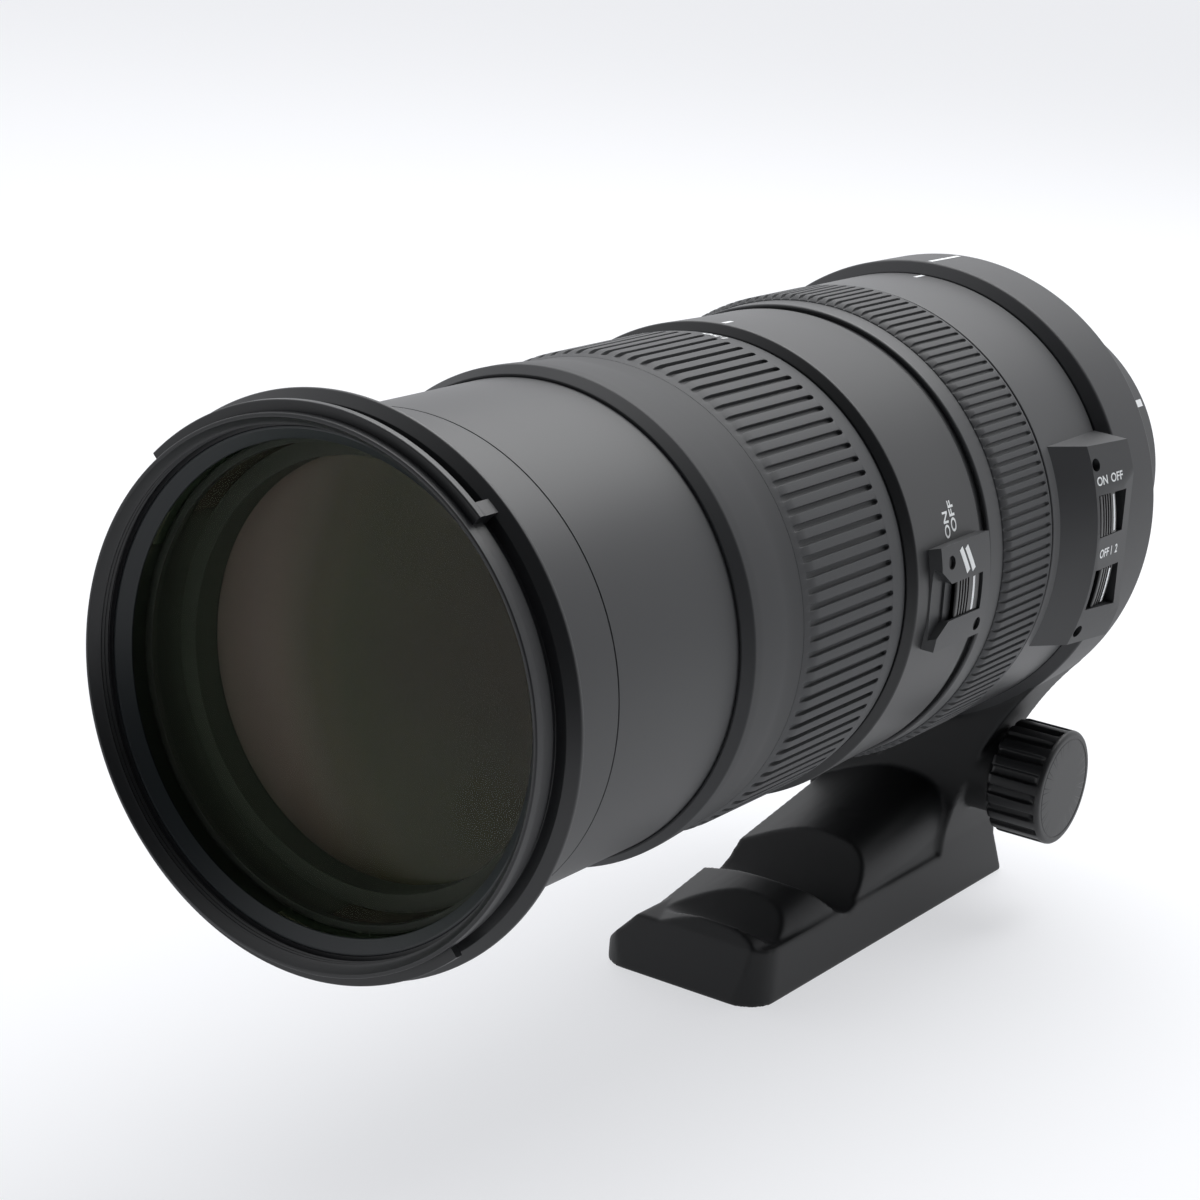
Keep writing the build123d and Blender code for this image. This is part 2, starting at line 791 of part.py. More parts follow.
def main_barrel():
    """Fixed barrel between the two grips; its thin neck carries the focus ring."""
    rear = rear_barrel_front_y + focus_band_length + groove_width
    land = sleeve_outer + run_fit
    front_bore = zoom_margin_radius + slide_fit
    land_rear = main_shoulder_y + bearing_land
    body = turned([
        (land, main_front_y), (front_bore + slide_fit, main_front_y),
        (main_front_radius, main_shoulder_y),
        (main_rear_radius, main_rear_y - ring_gap),
        (main_rear_radius - ring_gap / 2, main_rear_y), (neck_outer - groove_depth, main_rear_y),
        (neck_outer - groove_depth, focus_front_y), (neck_outer, focus_front_y),
        (neck_outer, rear), (barrel_inner, rear), (barrel_inner, land_rear), (land, land_rear),
    ])
    margin = link_angle / 2 + degrees(running_gap * 2 / neck_outer)
    body -= tube_sector(barrel_inner - overrun, neck_outer + overrun, -link_front - running_gap,
                        -link_front + link_arm_length + running_gap,
                        link_azimuth - margin, link_azimuth + focus_turn_angle + margin)
    front = main_front_y + lock_front_inset
    body -= tube_sector(main_rear_radius - lock_seat_cut, lock_top_radius, front,
                        front + lock_length, *lock_azimuths)
    for azimuth, inset in zip(lock_screw_azimuths, lock_screw_insets):
        body -= screw_hole(azimuth, lock_top_radius - lock_screw_sink, front + inset)
    return body


def lock_panel():
    """Raised panel of the zoom lock, with a finger scoop in front of the slider's window."""
    front = main_front_y + lock_front_inset
    rear = front + lock_length
    seat = main_rear_radius - lock_seat_cut
    body = sector([
        (seat, front), (lock_top_radius, front + lock_front_slope), (lock_top_radius, rear),
        (seat, rear),
    ], *lock_azimuths)
    window_y = front + lock_window_front
    floor = lock_slider_top - lock_scoop_depth
    body -= slider_pocket(lock_window_azimuth, seat + lock_front_slope, lock_top_radius, window_y,
                          lock_window_length, lock_window_width)
    half = lock_scoop_width / 2
    narrow = lock_window_width / 2 + slider_side_gap
    scoop = extrude(Plane.YZ.offset(floor) * make_face(Polyline(
        (front - overrun, -half), (front - overrun, half), (window_y, narrow), (window_y, -narrow),
        close=True)), overrun + lock_top_radius - floor)
    body -= at_azimuth(lock_window_azimuth, scoop)
    for azimuth, inset in zip(lock_screw_azimuths, lock_screw_insets):
        body -= screw_hole(azimuth, lock_top_radius - lock_screw_sink, front + inset)
    return body


def lock_slider():
    """Zoom lock slider, at rest in its rear, unlocked place."""
    seat = main_rear_radius - lock_seat_cut
    rear = main_front_y + lock_front_inset + lock_window_front + lock_window_length - running_gap
    return slider(lock_window_azimuth, seat + lock_front_slope, lock_slider_top,
                  rear - lock_slider_length, lock_slider_length, lock_window_width)


def focus_sleeve():
    """Metal sleeve of the focus ring with the plain band in front of its grip."""
    bearing = focus_front_y + bearing_land
    bore = neck_outer + run_fit
    edge = ring_gap / 2
    return turned([
        (bore, focus_front_y), (focus_band_radius - edge, focus_front_y),
        (focus_band_radius, focus_front_y + edge), (focus_sleeve_outer, focus_rubber_front_y),
        (focus_sleeve_outer, focus_rear_y), (focus_sleeve_inner, focus_rear_y),
        (focus_sleeve_inner, bearing), (bore, bearing),
    ])


def focus_rubber():
    """Finely ribbed focus grip."""
    outline = [
        (focus_sleeve_outer, focus_rubber_front_y),
        (focus_sleeve_outer + focus_rib_depth / 4, focus_rubber_front_y),
        (focus_rubber_radius, focus_rubber_front_y + focus_rib_lead),
        (focus_rubber_radius, focus_rear_y - focus_rib_tail / 2),
        (focus_rubber_radius - focus_rib_tail / 2, focus_rear_y), (focus_sleeve_outer, focus_rear_y),
    ]
    return ribbed(outline, focus_rib_count, focus_rib_depth, focus_rubber_front_y,
                  focus_rear_y - focus_rib_tail, focus_rubber_radius)


def focus_link():
    """Bent finger that carries the focus ring's turn to the focusing cam."""
    inner = cam_outer + link_inner_gap
    outer = inner + link_thickness
    start, end = link_azimuth - link_angle / 2, link_azimuth + link_angle / 2
    front = -link_front
    rear = -focus_cam_front + link_tail
    finger = tube_sector(inner, outer, front, rear, start, end)
    finger += tube_sector(inner, focus_sleeve_inner, front, front + link_arm_length, start, end)
    return finger + tube_sector(cam_outer, outer, -focus_cam_front, rear, start, end)


def focus_cam_ring():
    """Short cam ring around the guide tube that moves the focusing cell."""
    body = tube(cam_inner, cam_outer, -focus_cam_front, -focus_cam_rear)
    for azimuth in focus_azimuths:
        body -= cam_slot(azimuth, cam_inner - overrun / 2, cam_outer + overrun / 2,
                         -focus_front + focus_cell_length / 2, focus_travel, -focus_turn_angle,
                         focus_pin_radius + slot_clearance)
    return body


def cell(front, length, glass_radius, shoulder, front_edge, rear_edge, azimuths, pin_radius):
    """A lens cell: rim with guide pins, thin web, hub with a shoulder between two elements."""
    rear = front + length
    rim_outer = guide_inner - run_fit
    rim_inner = rim_outer - variator_rim_wall
    hub = glass_radius + seat_gap + variator_hub_wall
    middle = front + length / 2
    half = variator_web / 2
    bore = glass_radius + seat_gap
    shelf_front = front + front_edge
    shelf_rear = shelf_front + shoulder
    body = turned([
        (bore, front), (hub, front), (hub, middle - half), (rim_inner, middle - half),
        (rim_inner, front), (rim_outer, front), (rim_outer, rear), (rim_inner, rear),
        (rim_inner, middle + half), (hub, middle + half), (hub, shelf_rear + rear_edge),
        (bore, shelf_rear + rear_edge), (bore, shelf_rear), (bore - shoulder, shelf_rear),
        (bore - shoulder, shelf_front), (bore, shelf_front),
    ])
    for azimuth in azimuths:
        body += radial_pin(azimuth, rim_inner, cam_outer - run_fit, middle, pin_radius)
    return body


def variator_group():
    front = -variator_front
    pieces["variator_cell"] = cell(
        front, variator_length, variator_glass_radius, variator_shoulder, variator_front_edge,
        variator_rear_edge, variator_azimuths, variator_pin_radius)
    shelf = front + variator_front_edge
    pieces["variator_element_1"] = glass(variator_glass_radius, front, shelf,
                                         -variator_hollow / 2, -variator_hollow)
    rear = shelf + variator_shoulder
    pieces["variator_element_2"] = glass(variator_glass_radius, rear, rear + variator_rear_edge,
                                         -variator_hollow, variator_hollow)


def focus_group():
    front = -focus_front
    pieces["focus_cell"] = cell(
        front, focus_cell_length, focus_glass_radius, focus_shoulder, focus_glass_edge,
        focus_glass_edge, focus_azimuths, focus_pin_radius)
    shelf = front + focus_glass_edge
    pieces["focus_element_1"] = glass(focus_glass_radius, front, shelf, focus_glass_bulge,
                                      -focus_glass_bulge / 2)
    rear = shelf + focus_shoulder
    pieces["focus_element_2"] = glass(focus_glass_radius, rear, rear + focus_glass_edge,
                                      -focus_glass_bulge / 2, focus_glass_bulge)


def iris_base():
    """Iris housing: front plate, rim in the guide tube and one pivot post for each blade."""
    front = -iris_front
    outer = guide_inner - run_fit
    body = tube(iris_opening, outer, front, front + iris_plate)
    body += tube(outer - iris_wall, outer, front, front + iris_length)
    post_rear = front + iris_plate + iris_blade_pitch * (iris_blade_count + 1)
    for index in range(iris_blade_count):
        body += axial_pin(360 / iris_blade_count * index, iris_pivot_radius,
                          front + iris_plate, post_rear, iris_post_radius)
    return body


def iris_blade(index):
    """One curved blade with the ear for its post and its drive pin."""
    azimuth = 360 / iris_blade_count * index
    front = -iris_front + iris_plate + iris_blade_pitch * (index + 1)
    rear = front + iris_blade_thickness
    blade = tube_sector(iris_blade_inner, iris_blade_outer, front, rear, -iris_blade_angle, 0)
    blade += axial_pin(0, iris_pivot_radius, front, rear, iris_ear_radius)
    blade += block(0, iris_blade_outer - iris_ear_radius, iris_pivot_radius, front, rear,
                   2 * iris_ear_radius)
    pin_circle = iris_pivot_radius + iris_pin_offset
    blade += block(0, iris_pivot_radius, pin_circle, front, rear, 3 * iris_pin_radius)
    ring_rear = -iris_front + iris_length - seat_gap
    blade += axial_pin(0, pin_circle, front, ring_rear, iris_pin_radius)
    blade -= axial_pin(0, iris_pivot_radius, front - overrun, rear + overrun,
                       iris_post_radius + run_fit)
    return at_azimuth(azimuth, blade)


def iris_ring():
    """Ring with one slot for each blade's drive pin."""
    rear = -iris_front + iris_length - seat_gap
    front = rear - iris_ring_length
    outer = guide_inner - run_fit - iris_wall - run_fit
    body = tube(iris_ring_inner, outer, front, rear)
    pin_circle = iris_pivot_radius + iris_pin_offset
    for index in range(iris_blade_count):
        body -= block(360 / iris_blade_count * index, pin_circle - iris_slot_width, outer + overrun,
                      front - overrun, rear + overrun, iris_slot_width)
    return body


def stabiliser():
    """Shift unit: a base with a pocket, a carriage that moves across, a cell that moves up."""
    front = -stabiliser_front
    rear = front + stabiliser_length
    inner_front = front + stabiliser_floor
    depth = rear - inner_front
    middle = (inner_front + rear) / 2
    base = tube(0, guide_inner - run_fit, front, rear)
    pocket = Pos(0, middle + overrun / 2, 0) * Box(2 * stabiliser_pocket_x, depth + overrun,
                                                   2 * stabiliser_pocket_z)
    base -= pocket
    light_hole = stabiliser_glass_radius + 2 * stabiliser_travel
    base -= tube(0, light_hole, front - overrun, rear)
    pieces["stabiliser_base"] = base
    plate = Box(2 * carriage_x, depth - running_gap, 2 * carriage_z)
    window = Box(2 * carriage_window_x, depth, 2 * carriage_window_z)
    place = Pos(0, middle, 0)
    pieces["stabiliser_carriage"] = place * (plate - window)
    holder = Box(2 * (carriage_window_x - run_fit), depth - running_gap, 2 * stabiliser_cell_z)
    bore = Rot(90, 0, 0) * Cylinder(stabiliser_glass_radius + seat_gap, depth + overrun)
    pieces["stabiliser_cell"] = place * (holder - bore)
    edge = (depth - running_gap) / 2
    pieces["stabiliser_element"] = glass(stabiliser_glass_radius, middle - edge, middle + edge,
                                         -stabiliser_glass_bulge, -stabiliser_glass_bulge)


def motor():
    """Ring motor: a fixed stator ring and the rotor ring that turns the focusing cam."""
    front = -motor_front
    split = front + stator_length
    stator = tube(cam_outer + running_gap, barrel_inner - seat_gap, front, split)
    pieces["motor_stator"] = stator
    rear = split + running_gap + rotor_length
    pieces["motor_rotor"] = tube(cam_outer, barrel_inner - running_gap, split + running_gap, rear)


def rear_barrel():
    """Rear barrel: front skirt, seat for the tripod collar, taper to the camera mount."""
    front = rear_barrel_front_y
    neck_rear = front + focus_band_length + groove_width
    seat_rear = collar_rear_y + seat_tail
    end_front = -barrel_end_inset - barrel_end_length
    web_rear = -mount_plate_thickness
    web_front = web_rear - end_web_length
    recess = mount_plate_radius + seat_gap
    edge = ring_gap / 2
    body = turned([
        (neck_outer + seat_gap, front), (rear_barrel_radius - edge, front),
        (rear_barrel_radius, front + edge), (rear_barrel_radius, barrel_step_y),
        (collar_seat_radius, barrel_step_y), (collar_seat_radius, seat_rear),
        (barrel_end_radius, end_front), (barrel_end_radius, -barrel_end_inset),
        (recess, -barrel_end_inset), (recess, web_rear), (end_web_radius, web_rear),
        (end_web_radius, web_front), (barrel_end_radius - barrel_wall, web_front),
        (barrel_inner, seat_rear - barrel_wall), (barrel_inner, neck_rear),
        (neck_outer + seat_gap, neck_rear),
    ])
    for index in range(mount_screw_count):
        body -= axial_pin(360 / mount_screw_count * (index + 0.5), mount_screw_circle,
                          web_front - overrun, web_rear + overrun, mount_screw_radius)
    head_top = switch_front_radius - switch_screw_sink
    for azimuth in switch_screw_azimuths:
        body -= screw_hole(azimuth, head_top, front + switch_screw_inset)
    return body


def switch_panel():
    """Raised block on the rear barrel with two slider windows."""
    front = rear_barrel_front_y + switch_front_inset
    rear = barrel_step_y + switch_rear_inset
    body = sector([
        (rear_barrel_radius, front), (switch_front_radius, front + switch_front_slope),
        (switch_rear_radius, rear), (rear_barrel_radius, rear),
    ], *switch_base_azimuths)
    low, high = rear_barrel_radius - overrun, switch_rear_radius + overrun
    base = [(low * cos(radians(a)), low * sin(radians(a))) for a in switch_base_azimuths]
    top = [(high * cos(radians(a)), high * sin(radians(a))) for a in switch_top_azimuths]
    wedge = extrude(Plane.XZ.offset(-rear - overrun) * make_face(Polyline(
        base[0], top[0], top[1], base[1], close=True)), rear - front + 2 * overrun)
    body &= wedge
    window_y = rear_barrel_front_y + switch_window_front
    for azimuth in (focus_switch_azimuth, stabiliser_switch_azimuth):
        body -= slider_pocket(azimuth, switch_floor, switch_rear_radius, window_y,
                              switch_window_length, switch_window_width)
    for azimuth in switch_screw_azimuths:
        body -= screw_hole(azimuth, switch_front_radius - switch_screw_sink,
                           rear_barrel_front_y + switch_screw_inset)
    return body


def switch_sliders():
    """The focus-mode slider rests in front, the stabiliser slider in its middle place."""
    window_y = rear_barrel_front_y + switch_window_front
    pieces["focus_mode_slider"] = slider(
        focus_switch_azimuth, switch_floor, switch_slider_top, window_y + running_gap / 2,
        focus_slider_length, switch_window_width)
    middle = window_y + (switch_window_length - stabiliser_slider_length) / 2
    pieces["stabiliser_slider"] = slider(
        stabiliser_switch_azimuth, switch_floor, switch_slider_top, middle,
        stabiliser_slider_length, switch_window_width)


def panel_screws():
    """The four equal screws of the two panels."""
    front = main_front_y + lock_front_inset
    place = rear_barrel_front_y + switch_screw_inset
    group = [panel_screw(azimuth, lock_top_radius - lock_screw_sink, front + inset)
             for azimuth, inset in zip(lock_screw_azimuths, lock_screw_insets)]
    group += [panel_screw(azimuth, switch_front_radius - switch_screw_sink, place)
              for azimuth in switch_screw_azimuths]
    return Compound(group)


def rear_group():
    """Rear cell with two elements and the flange that carries the circuit board."""
    rear = -mount_plate_thickness - end_web_length
    front = -rear_cell_front
    bore = rear_glass_radius + seat_gap
    outer = bore + rear_cell_wall
    flange_front = rear - rear_cell_flange
    first_rear = front + rear_glass_edge
    shelf = bore - rear_cell_wall / 2
    pieces["rear_cell"] = turned([
        (bore, front), (outer, front), (outer, flange_front),
        (rear_cell_flange_radius, flange_front), (rear_cell_flange_radius, rear), (bore, rear),
        (bore, -last_glass_front), (shelf, -last_glass_front), (shelf, first_rear), (bore, first_rear),
    ])
    pieces["rear_element_1"] = glass(rear_glass_radius, front, first_rear, rear_glass_bulge,
                                     -rear_glass_bulge / 2)
    last_front = -last_glass_front
    pieces["rear_element_2"] = glass(rear_glass_radius, last_front, last_front + rear_glass_edge,
                                     -rear_glass_bulge, rear_glass_bulge)
    board_front = flange_front - board_thickness
    board = tube(board_bore, board_radius, board_front, flange_front)
    for azimuth in chip_azimuths:
        middle = (board_bore + board_radius) / 2
        half = (board_radius - board_bore) / 3
        board += block(azimuth, middle - half, middle + half, board_front - chip_height,
                       board_front, chip_width)
    pieces["circuit_board"] = board


def mount_plate():
    """Metal bayonet plate with three lugs and the notch for the camera's lock pin."""
    body = tube(bayonet_bore, mount_plate_radius, -mount_plate_thickness, 0)
    body += tube(bayonet_bore, bayonet_radius, 0, bayonet_length)
    for index in range(lug_count):
        middle = 360 / lug_count * index + lug_angle / 2
        body += tube_sector(bayonet_bore, lug_radius, lug_inset, lug_inset + lug_thickness,
                            middle - lug_angle / 2, middle + lug_angle / 2)
    head_y = -mount_screw_head_length
    for index in range(mount_screw_count):
        azimuth = 360 / mount_screw_count * (index + 0.5)
        body -= axial_pin(azimuth, mount_screw_circle, -mount_plate_thickness - overrun, overrun,
                          mount_screw_radius)
        body -= axial_pin(azimuth, mount_screw_circle, head_y, overrun, mount_screw_head + seat_gap)
    body -= block(lock_notch_azimuth, mount_screw_circle, mount_plate_radius - lock_notch_width / 2,
                  -lock_notch_depth, overrun, lock_notch_width)
    return body


def mount_screws():
    group = []
    for index in range(mount_screw_count):
        azimuth = 360 / mount_screw_count * (index + 0.5)
        head = axial_pin(azimuth, mount_screw_circle, -mount_screw_head_length, -seat_gap,
                         mount_screw_head)
        shank = axial_pin(azimuth, mount_screw_circle, -mount_plate_thickness - end_web_length,
                          -mount_screw_head_length, mount_screw_radius)
        group.append(head + shank)
    return Compound(group)


def rear_fittings():
    """Light baffle, contact block and contact pins inside the bayonet."""
    outer = bayonet_bore - seat_gap
    baffle_rear = baffle_inset + baffle_thickness
    window = Pos(0, baffle_rear, 0) * Box(baffle_window_x, 2 * baffle_rear, baffle_window_z)
    pieces["rear_baffle"] = tube(0, outer, baffle_inset, baffle_rear) - window
    pieces["contact_block"] = tube_sector(contact_block_inner, outer, baffle_rear, bayonet_length,
                                          *contact_arc)
    circle = (contact_block_inner + outer) / 2
    start, end = contact_arc
    step = (end - start) / contact_count
    pins = [axial_pin(start + step * (index + 0.5), circle, bayonet_length,
                      bayonet_length + contact_reach, contact_radius)
            for index in range(contact_count)]
    pieces["contact_pins"] = Compound(pins)


def foot_profile():
    """Side view of the foot: waves for the fingers, then the ramp up to the neck."""
    front = foot_front_y
    rear = foot_rear_y
    crests = zip(foot_crest_insets, foot_crest_heights)
    crest_1, crest_2, crest_3 = [(front + inset, foot_base_z + height) for inset, height in crests]
    troughs = zip(foot_trough_insets, foot_trough_heights)
    trough_1, trough_2 = [(front + inset, foot_base_z + height) for inset, height in troughs]
    ramps = zip(neck_ramp_insets, neck_ramp_heights)
    ramp = [(front + inset, foot_base_z + height) for inset, height in ramps]
    lean = (front + foot_front_lean, foot_base_z + foot_wall_height)
    wave = Spline(crest_1, trough_1, crest_2, trough_2, crest_3)
    outline = [
        Polyline((front, foot_base_z), lean, crest_1), wave, Polyline(crest_3, *ramp),
        Polyline(ramp[-1], (neck_rear_y, ramp[-1][1]),
                 (neck_rear_y, foot_base_z + neck_rear_height), (rear, foot_base_z),
                 (front, foot_base_z)),
    ]
    return make_face(outline)


def foot_base_section():
    """Front view of the foot's lower part: an upright wall on the +X side, a slope on the other."""
    half = foot_half_width
    wall = foot_base_z + foot_wall_height
    return make_face(Polyline(
        (-half, foot_base_z), (half, foot_base_z), (half, wall), (foot_left_crest, wall),
        (-half, foot_base_z + foot_left_wall), close=True))


def foot_dome():
    """The rounded back that carries the waves; it falls towards the front and leaves a ledge."""
    rise = foot_dome_fall * -(foot_front_y + foot_dome_inset)
    low = foot_base_z + foot_left_wall
    points = [(side, foot_base_z + height + rise)
              for side, height in zip(foot_dome_sides, foot_dome_heights)]
    back = Spline(*points)
    outline = [Line((points[0][0], low), points[0]), back, Line(points[-1], (-foot_half_width, low)),
               Line((-foot_half_width, low), (points[0][0], low))]
    along = Vector(0, -1, -foot_dome_fall)
    return extrude(Plane.XZ * make_face(outline), -foot_front_y * along.length, dir=along)


def foot_plan():
    """The foot from above: round corners in front, nearly sharp ones at the rear."""
    plan = Rectangle(2 * foot_half_width, foot_length)
    plan = fillet(plan.vertices().sort_by(Axis.Y)[:2], foot_corner)
    return fillet(plan.vertices().sort_by(Axis.Y)[-2:], foot_rear_corner)


def neck_section():
    """Front view of the neck: concave flanks that run up into the ring."""
    half = foot_half_width
    middle = flare_middle_half_width
    wide = collar_radius * flare_width_share
    foot_z = foot_base_z + flare_foot_height
    waist = (-flare_left_waist, foot_base_z + flare_left_waist_height)
    low = (-half, foot_base_z + foot_left_wall)
    middle_z = flare_middle_rise - collar_radius
    top_z = -collar_radius * flare_drop_share
    right = ThreePointArc((half, foot_z), (middle, middle_z), (wide, top_z))
    left = ThreePointArc((-wide, top_z), (-middle, middle_z), waist)
    outline = [
        Line((-half, foot_base_z), (half, foot_base_z)), Line((half, foot_base_z), (half, foot_z)),
        right, Line((wide, top_z), (-wide, top_z)), left,
        Line(waist, low), Line(low, (-half, foot_base_z)),
    ]
    return make_face(outline)


def neck_profile():
    """Side view of the neck between the foot and the ring."""
    front = collar_front_y + collar_chamfer
    mid_z = foot_base_z + neck_back_height
    return make_face(Polyline(
        (neck_front_y, foot_base_z), (neck_front_y, foot_base_z + neck_front_height),
        (front, foot_base_z + sum(neck_ramp_heights[1:]) / 2), (front, 0), (collar_rear_y, 0),
        (collar_rear_y, mid_z), (neck_rear_y, foot_base_z + neck_rear_height),
        (neck_rear_y, foot_base_z), close=True))


def collar_ring():
    face = collar_front_y + collar_chamfer
    bore = collar_seat_radius + slide_fit
    edge = ring_gap / 2
    return turned([
        (bore, collar_front_y), (rear_barrel_radius + slide_fit, collar_front_y),
        (collar_radius, face), (collar_radius - edge, collar_rear_y - edge),
        (collar_radius - 2 * edge, collar_rear_y), (bore, collar_rear_y),
    ])


def cross_hole(radius, start, end):
    """A round cutter along X through the neck, on the clamp screw's axis."""
    return Pos((start + end) / 2, knob_y, knob_z) * Rot(0, 90, 0) * Cylinder(radius, end - start)


def collar():
    """Tripod collar, neck and foot in one casting, slit below the ring for the clamp."""
    across = Plane.YZ.offset(-collar_radius)
    foot = extrude(across * foot_profile(), 2 * collar_radius)
    low = extrude(Plane.XZ * foot_base_section(), -foot_front_y)
    foot &= low + foot_dome()
    plan = Pos(0, foot_rear_y - foot_length / 2, foot_base_z) * foot_plan()
    foot &= extrude(plan, -foot_base_z)
    neck = extrude(across * neck_profile(), 2 * collar_radius)
    neck &= extrude(Plane.XZ * neck_section(), -foot_front_y)
    boss_end = knob_face - knob_length - boss_gap
    body = collar_ring() + foot + neck + cross_hole(boss_radius, 0, boss_end)
    body -= tube(0, collar_seat_radius + slide_fit, foot_front_y, 0)
    slit_top = overrun - collar_seat_radius
    slit_bottom = foot_base_z + clamp_slit_height
    slit = Box(clamp_slit, -foot_front_y, slit_top - slit_bottom)
    body -= Pos(0, foot_front_y / 2, (slit_top + slit_bottom) / 2) * slit
    body -= cross_hole(stud_radius + stud_clearance, 0, boss_end + overrun)
    body -= cross_hole(stud_radius + run_fit, -stud_reach - overrun, 0)
    hole = Cylinder(base_thread_radius, base_thread_depth)
    place = (0, foot_front_y + base_thread_inset, foot_base_z + base_thread_depth / 2)
    return body - Pos(*place) * hole


def knob():
    """Clamp knob with a grooved edge and a flat face."""
    edge = knob_chamfer
    start = knob_face - knob_length
    body = revolve(make_face(Polyline(
        (start, 0), (start, knob_radius - edge), (start + edge, knob_radius),
        (knob_face - edge, knob_radius), (knob_face, knob_radius - edge), (knob_face, 0),
        close=True)), Axis.X, 360)
    groove = Rot(0, 90, 0) * Cylinder(knob_groove_radius, knob_length)
    groove = Pos(start + knob_length / 2 - 2 * edge, knob_radius + edge / 4, 0) * groove
    for index in range(knob_lobe_count):
        body -= Rot(360 / knob_lobe_count * index, 0, 0) * groove
    body -= Pos(start + stud_sink / 2, 0, 0) * Rot(0, 90, 0) * Cylinder(stud_radius, stud_sink)
    return Pos(0, knob_y, knob_z) * body


def knob_stud():
    """Clamp screw fixed in the knob; it pulls the two sides of the slit together."""
    end = knob_face - knob_length + stud_sink
    length = end + stud_reach
    rod = Rot(0, 90, 0) * Cylinder(stud_radius, length)
    return Pos(end - length / 2, knob_y, knob_z) * rod


def build_all():
    pieces["front_bezel"] = front_bezel()
    pieces["front_retaining_ring"] = front_retaining_ring()
    front_group()
    pieces["front_tube"] = front_tube()
    pieces["cam_followers"] = cam_followers()
    pieces["zoom_sleeve"] = zoom_sleeve()
    pieces["zoom_rubber"] = zoom_rubber()
    pieces["cam_barrel"] = cam_barrel()
    pieces["zoom_key"] = zoom_key()
    pieces["guide_tube"] = guide_tube()
    pieces["main_barrel"] = main_barrel()
    pieces["lock_panel"] = lock_panel()
    pieces["lock_slider"] = lock_slider()
    pieces["focus_sleeve"] = focus_sleeve()
    pieces["focus_rubber"] = focus_rubber()
    pieces["focus_link"] = focus_link()
    pieces["focus_cam_ring"] = focus_cam_ring()
    variator_group()
    focus_group()
    pieces["iris_base"] = iris_base()
    pieces["iris_ring"] = iris_ring()
    for index in range(iris_blade_count):
        pieces[f"iris_blade_{index + 1}"] = iris_blade(index)
    stabiliser()
    motor()
    pieces["rear_barrel"] = rear_barrel()
    pieces["switch_panel"] = switch_panel()
    switch_sliders()
    pieces["panel_screws"] = panel_screws()
    rear_group()
    pieces["mount_plate"] = mount_plate()
    pieces["mount_screws"] = mount_screws()
    rear_fittings()
    pieces["tripod_collar"] = collar()
    pieces["clamp_knob"] = knob()
    pieces["clamp_stud"] = knob_stud()


build_all()
os.makedirs("parts", exist_ok=True)
for name, shape in pieces.items():
    export_step(shape, f"parts/{name}.step")
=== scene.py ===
from math import ceil, cos, pi, radians, sin

import bmesh
import bpy
from mathutils import Matrix, Vector


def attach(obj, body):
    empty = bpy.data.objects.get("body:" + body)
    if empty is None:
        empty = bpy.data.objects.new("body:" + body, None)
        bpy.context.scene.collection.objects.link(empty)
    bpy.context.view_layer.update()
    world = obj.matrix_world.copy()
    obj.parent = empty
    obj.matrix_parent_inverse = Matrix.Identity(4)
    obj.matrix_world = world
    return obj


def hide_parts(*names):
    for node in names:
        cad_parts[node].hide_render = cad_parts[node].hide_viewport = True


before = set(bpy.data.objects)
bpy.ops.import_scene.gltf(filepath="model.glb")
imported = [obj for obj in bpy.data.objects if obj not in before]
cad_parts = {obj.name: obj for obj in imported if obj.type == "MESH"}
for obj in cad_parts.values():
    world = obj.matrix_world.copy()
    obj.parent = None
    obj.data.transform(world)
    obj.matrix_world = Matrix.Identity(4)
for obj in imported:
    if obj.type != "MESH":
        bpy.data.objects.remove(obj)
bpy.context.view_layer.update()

MM = 0.001

# ------------------------------------------------------------------------------------------------
# Rear barrel. A turned aluminium tube with a seat for the tripod collar and a taper to the camera
# mount. Its satin black paint has a fine grain, so highlights spread into broad soft bands.
# ------------------------------------------------------------------------------------------------


def colour(hex_value):
    """An sRGB hex colour as linear values."""
    channels = [int(hex_value[i:i + 2], 16) / 255 for i in (1, 3, 5)]
    linear = [c / 12.92 if c <= 0.04045 else ((c + 0.055) / 1.055) ** 2.4 for c in channels]
    return (*linear, 1)


def add(tree, kind, settings=None, links=None, **properties):
    """A node with its socket values, its incoming links and its own properties."""
    node = tree.nodes.new(kind)
    for name, value in properties.items():
        setattr(node, name, value)
    for socket, value in (settings or {}).items():
        node.inputs[socket].default_value = value
    for socket, source in (links or {}).items():
        tree.links.new(source, node.inputs[socket])
    return node


def finish_of(name, base, roughness, grain_mm=0, relief_mm=0, **shader):
    """A surface of one colour whose grain is a fine relief, both sizes in millimetres."""
    material = bpy.data.materials.new(name)
    material.use_nodes = True
    tree = material.node_tree
    principled = tree.nodes["Principled BSDF"]
    principled.inputs["Base Color"].default_value = colour(base)
    principled.inputs["Roughness"].default_value = roughness
    for socket, value in shader.items():
        principled.inputs[socket.replace("_", " ")].default_value = value
    if grain_mm:
        place = add(tree, "ShaderNodeTexCoord")
        grain = add(tree, "ShaderNodeTexNoise", {"Scale": 1 / (grain_mm * MM), "Detail": 2},
                    {"Vector": place.outputs["Object"]})
        bump = add(tree, "ShaderNodeBump", {"Strength": 1, "Distance": relief_mm * MM},
                   {"Height": grain.outputs["Fac"]})
        tree.links.new(bump.outputs["Normal"], principled.inputs["Normal"])
    return material


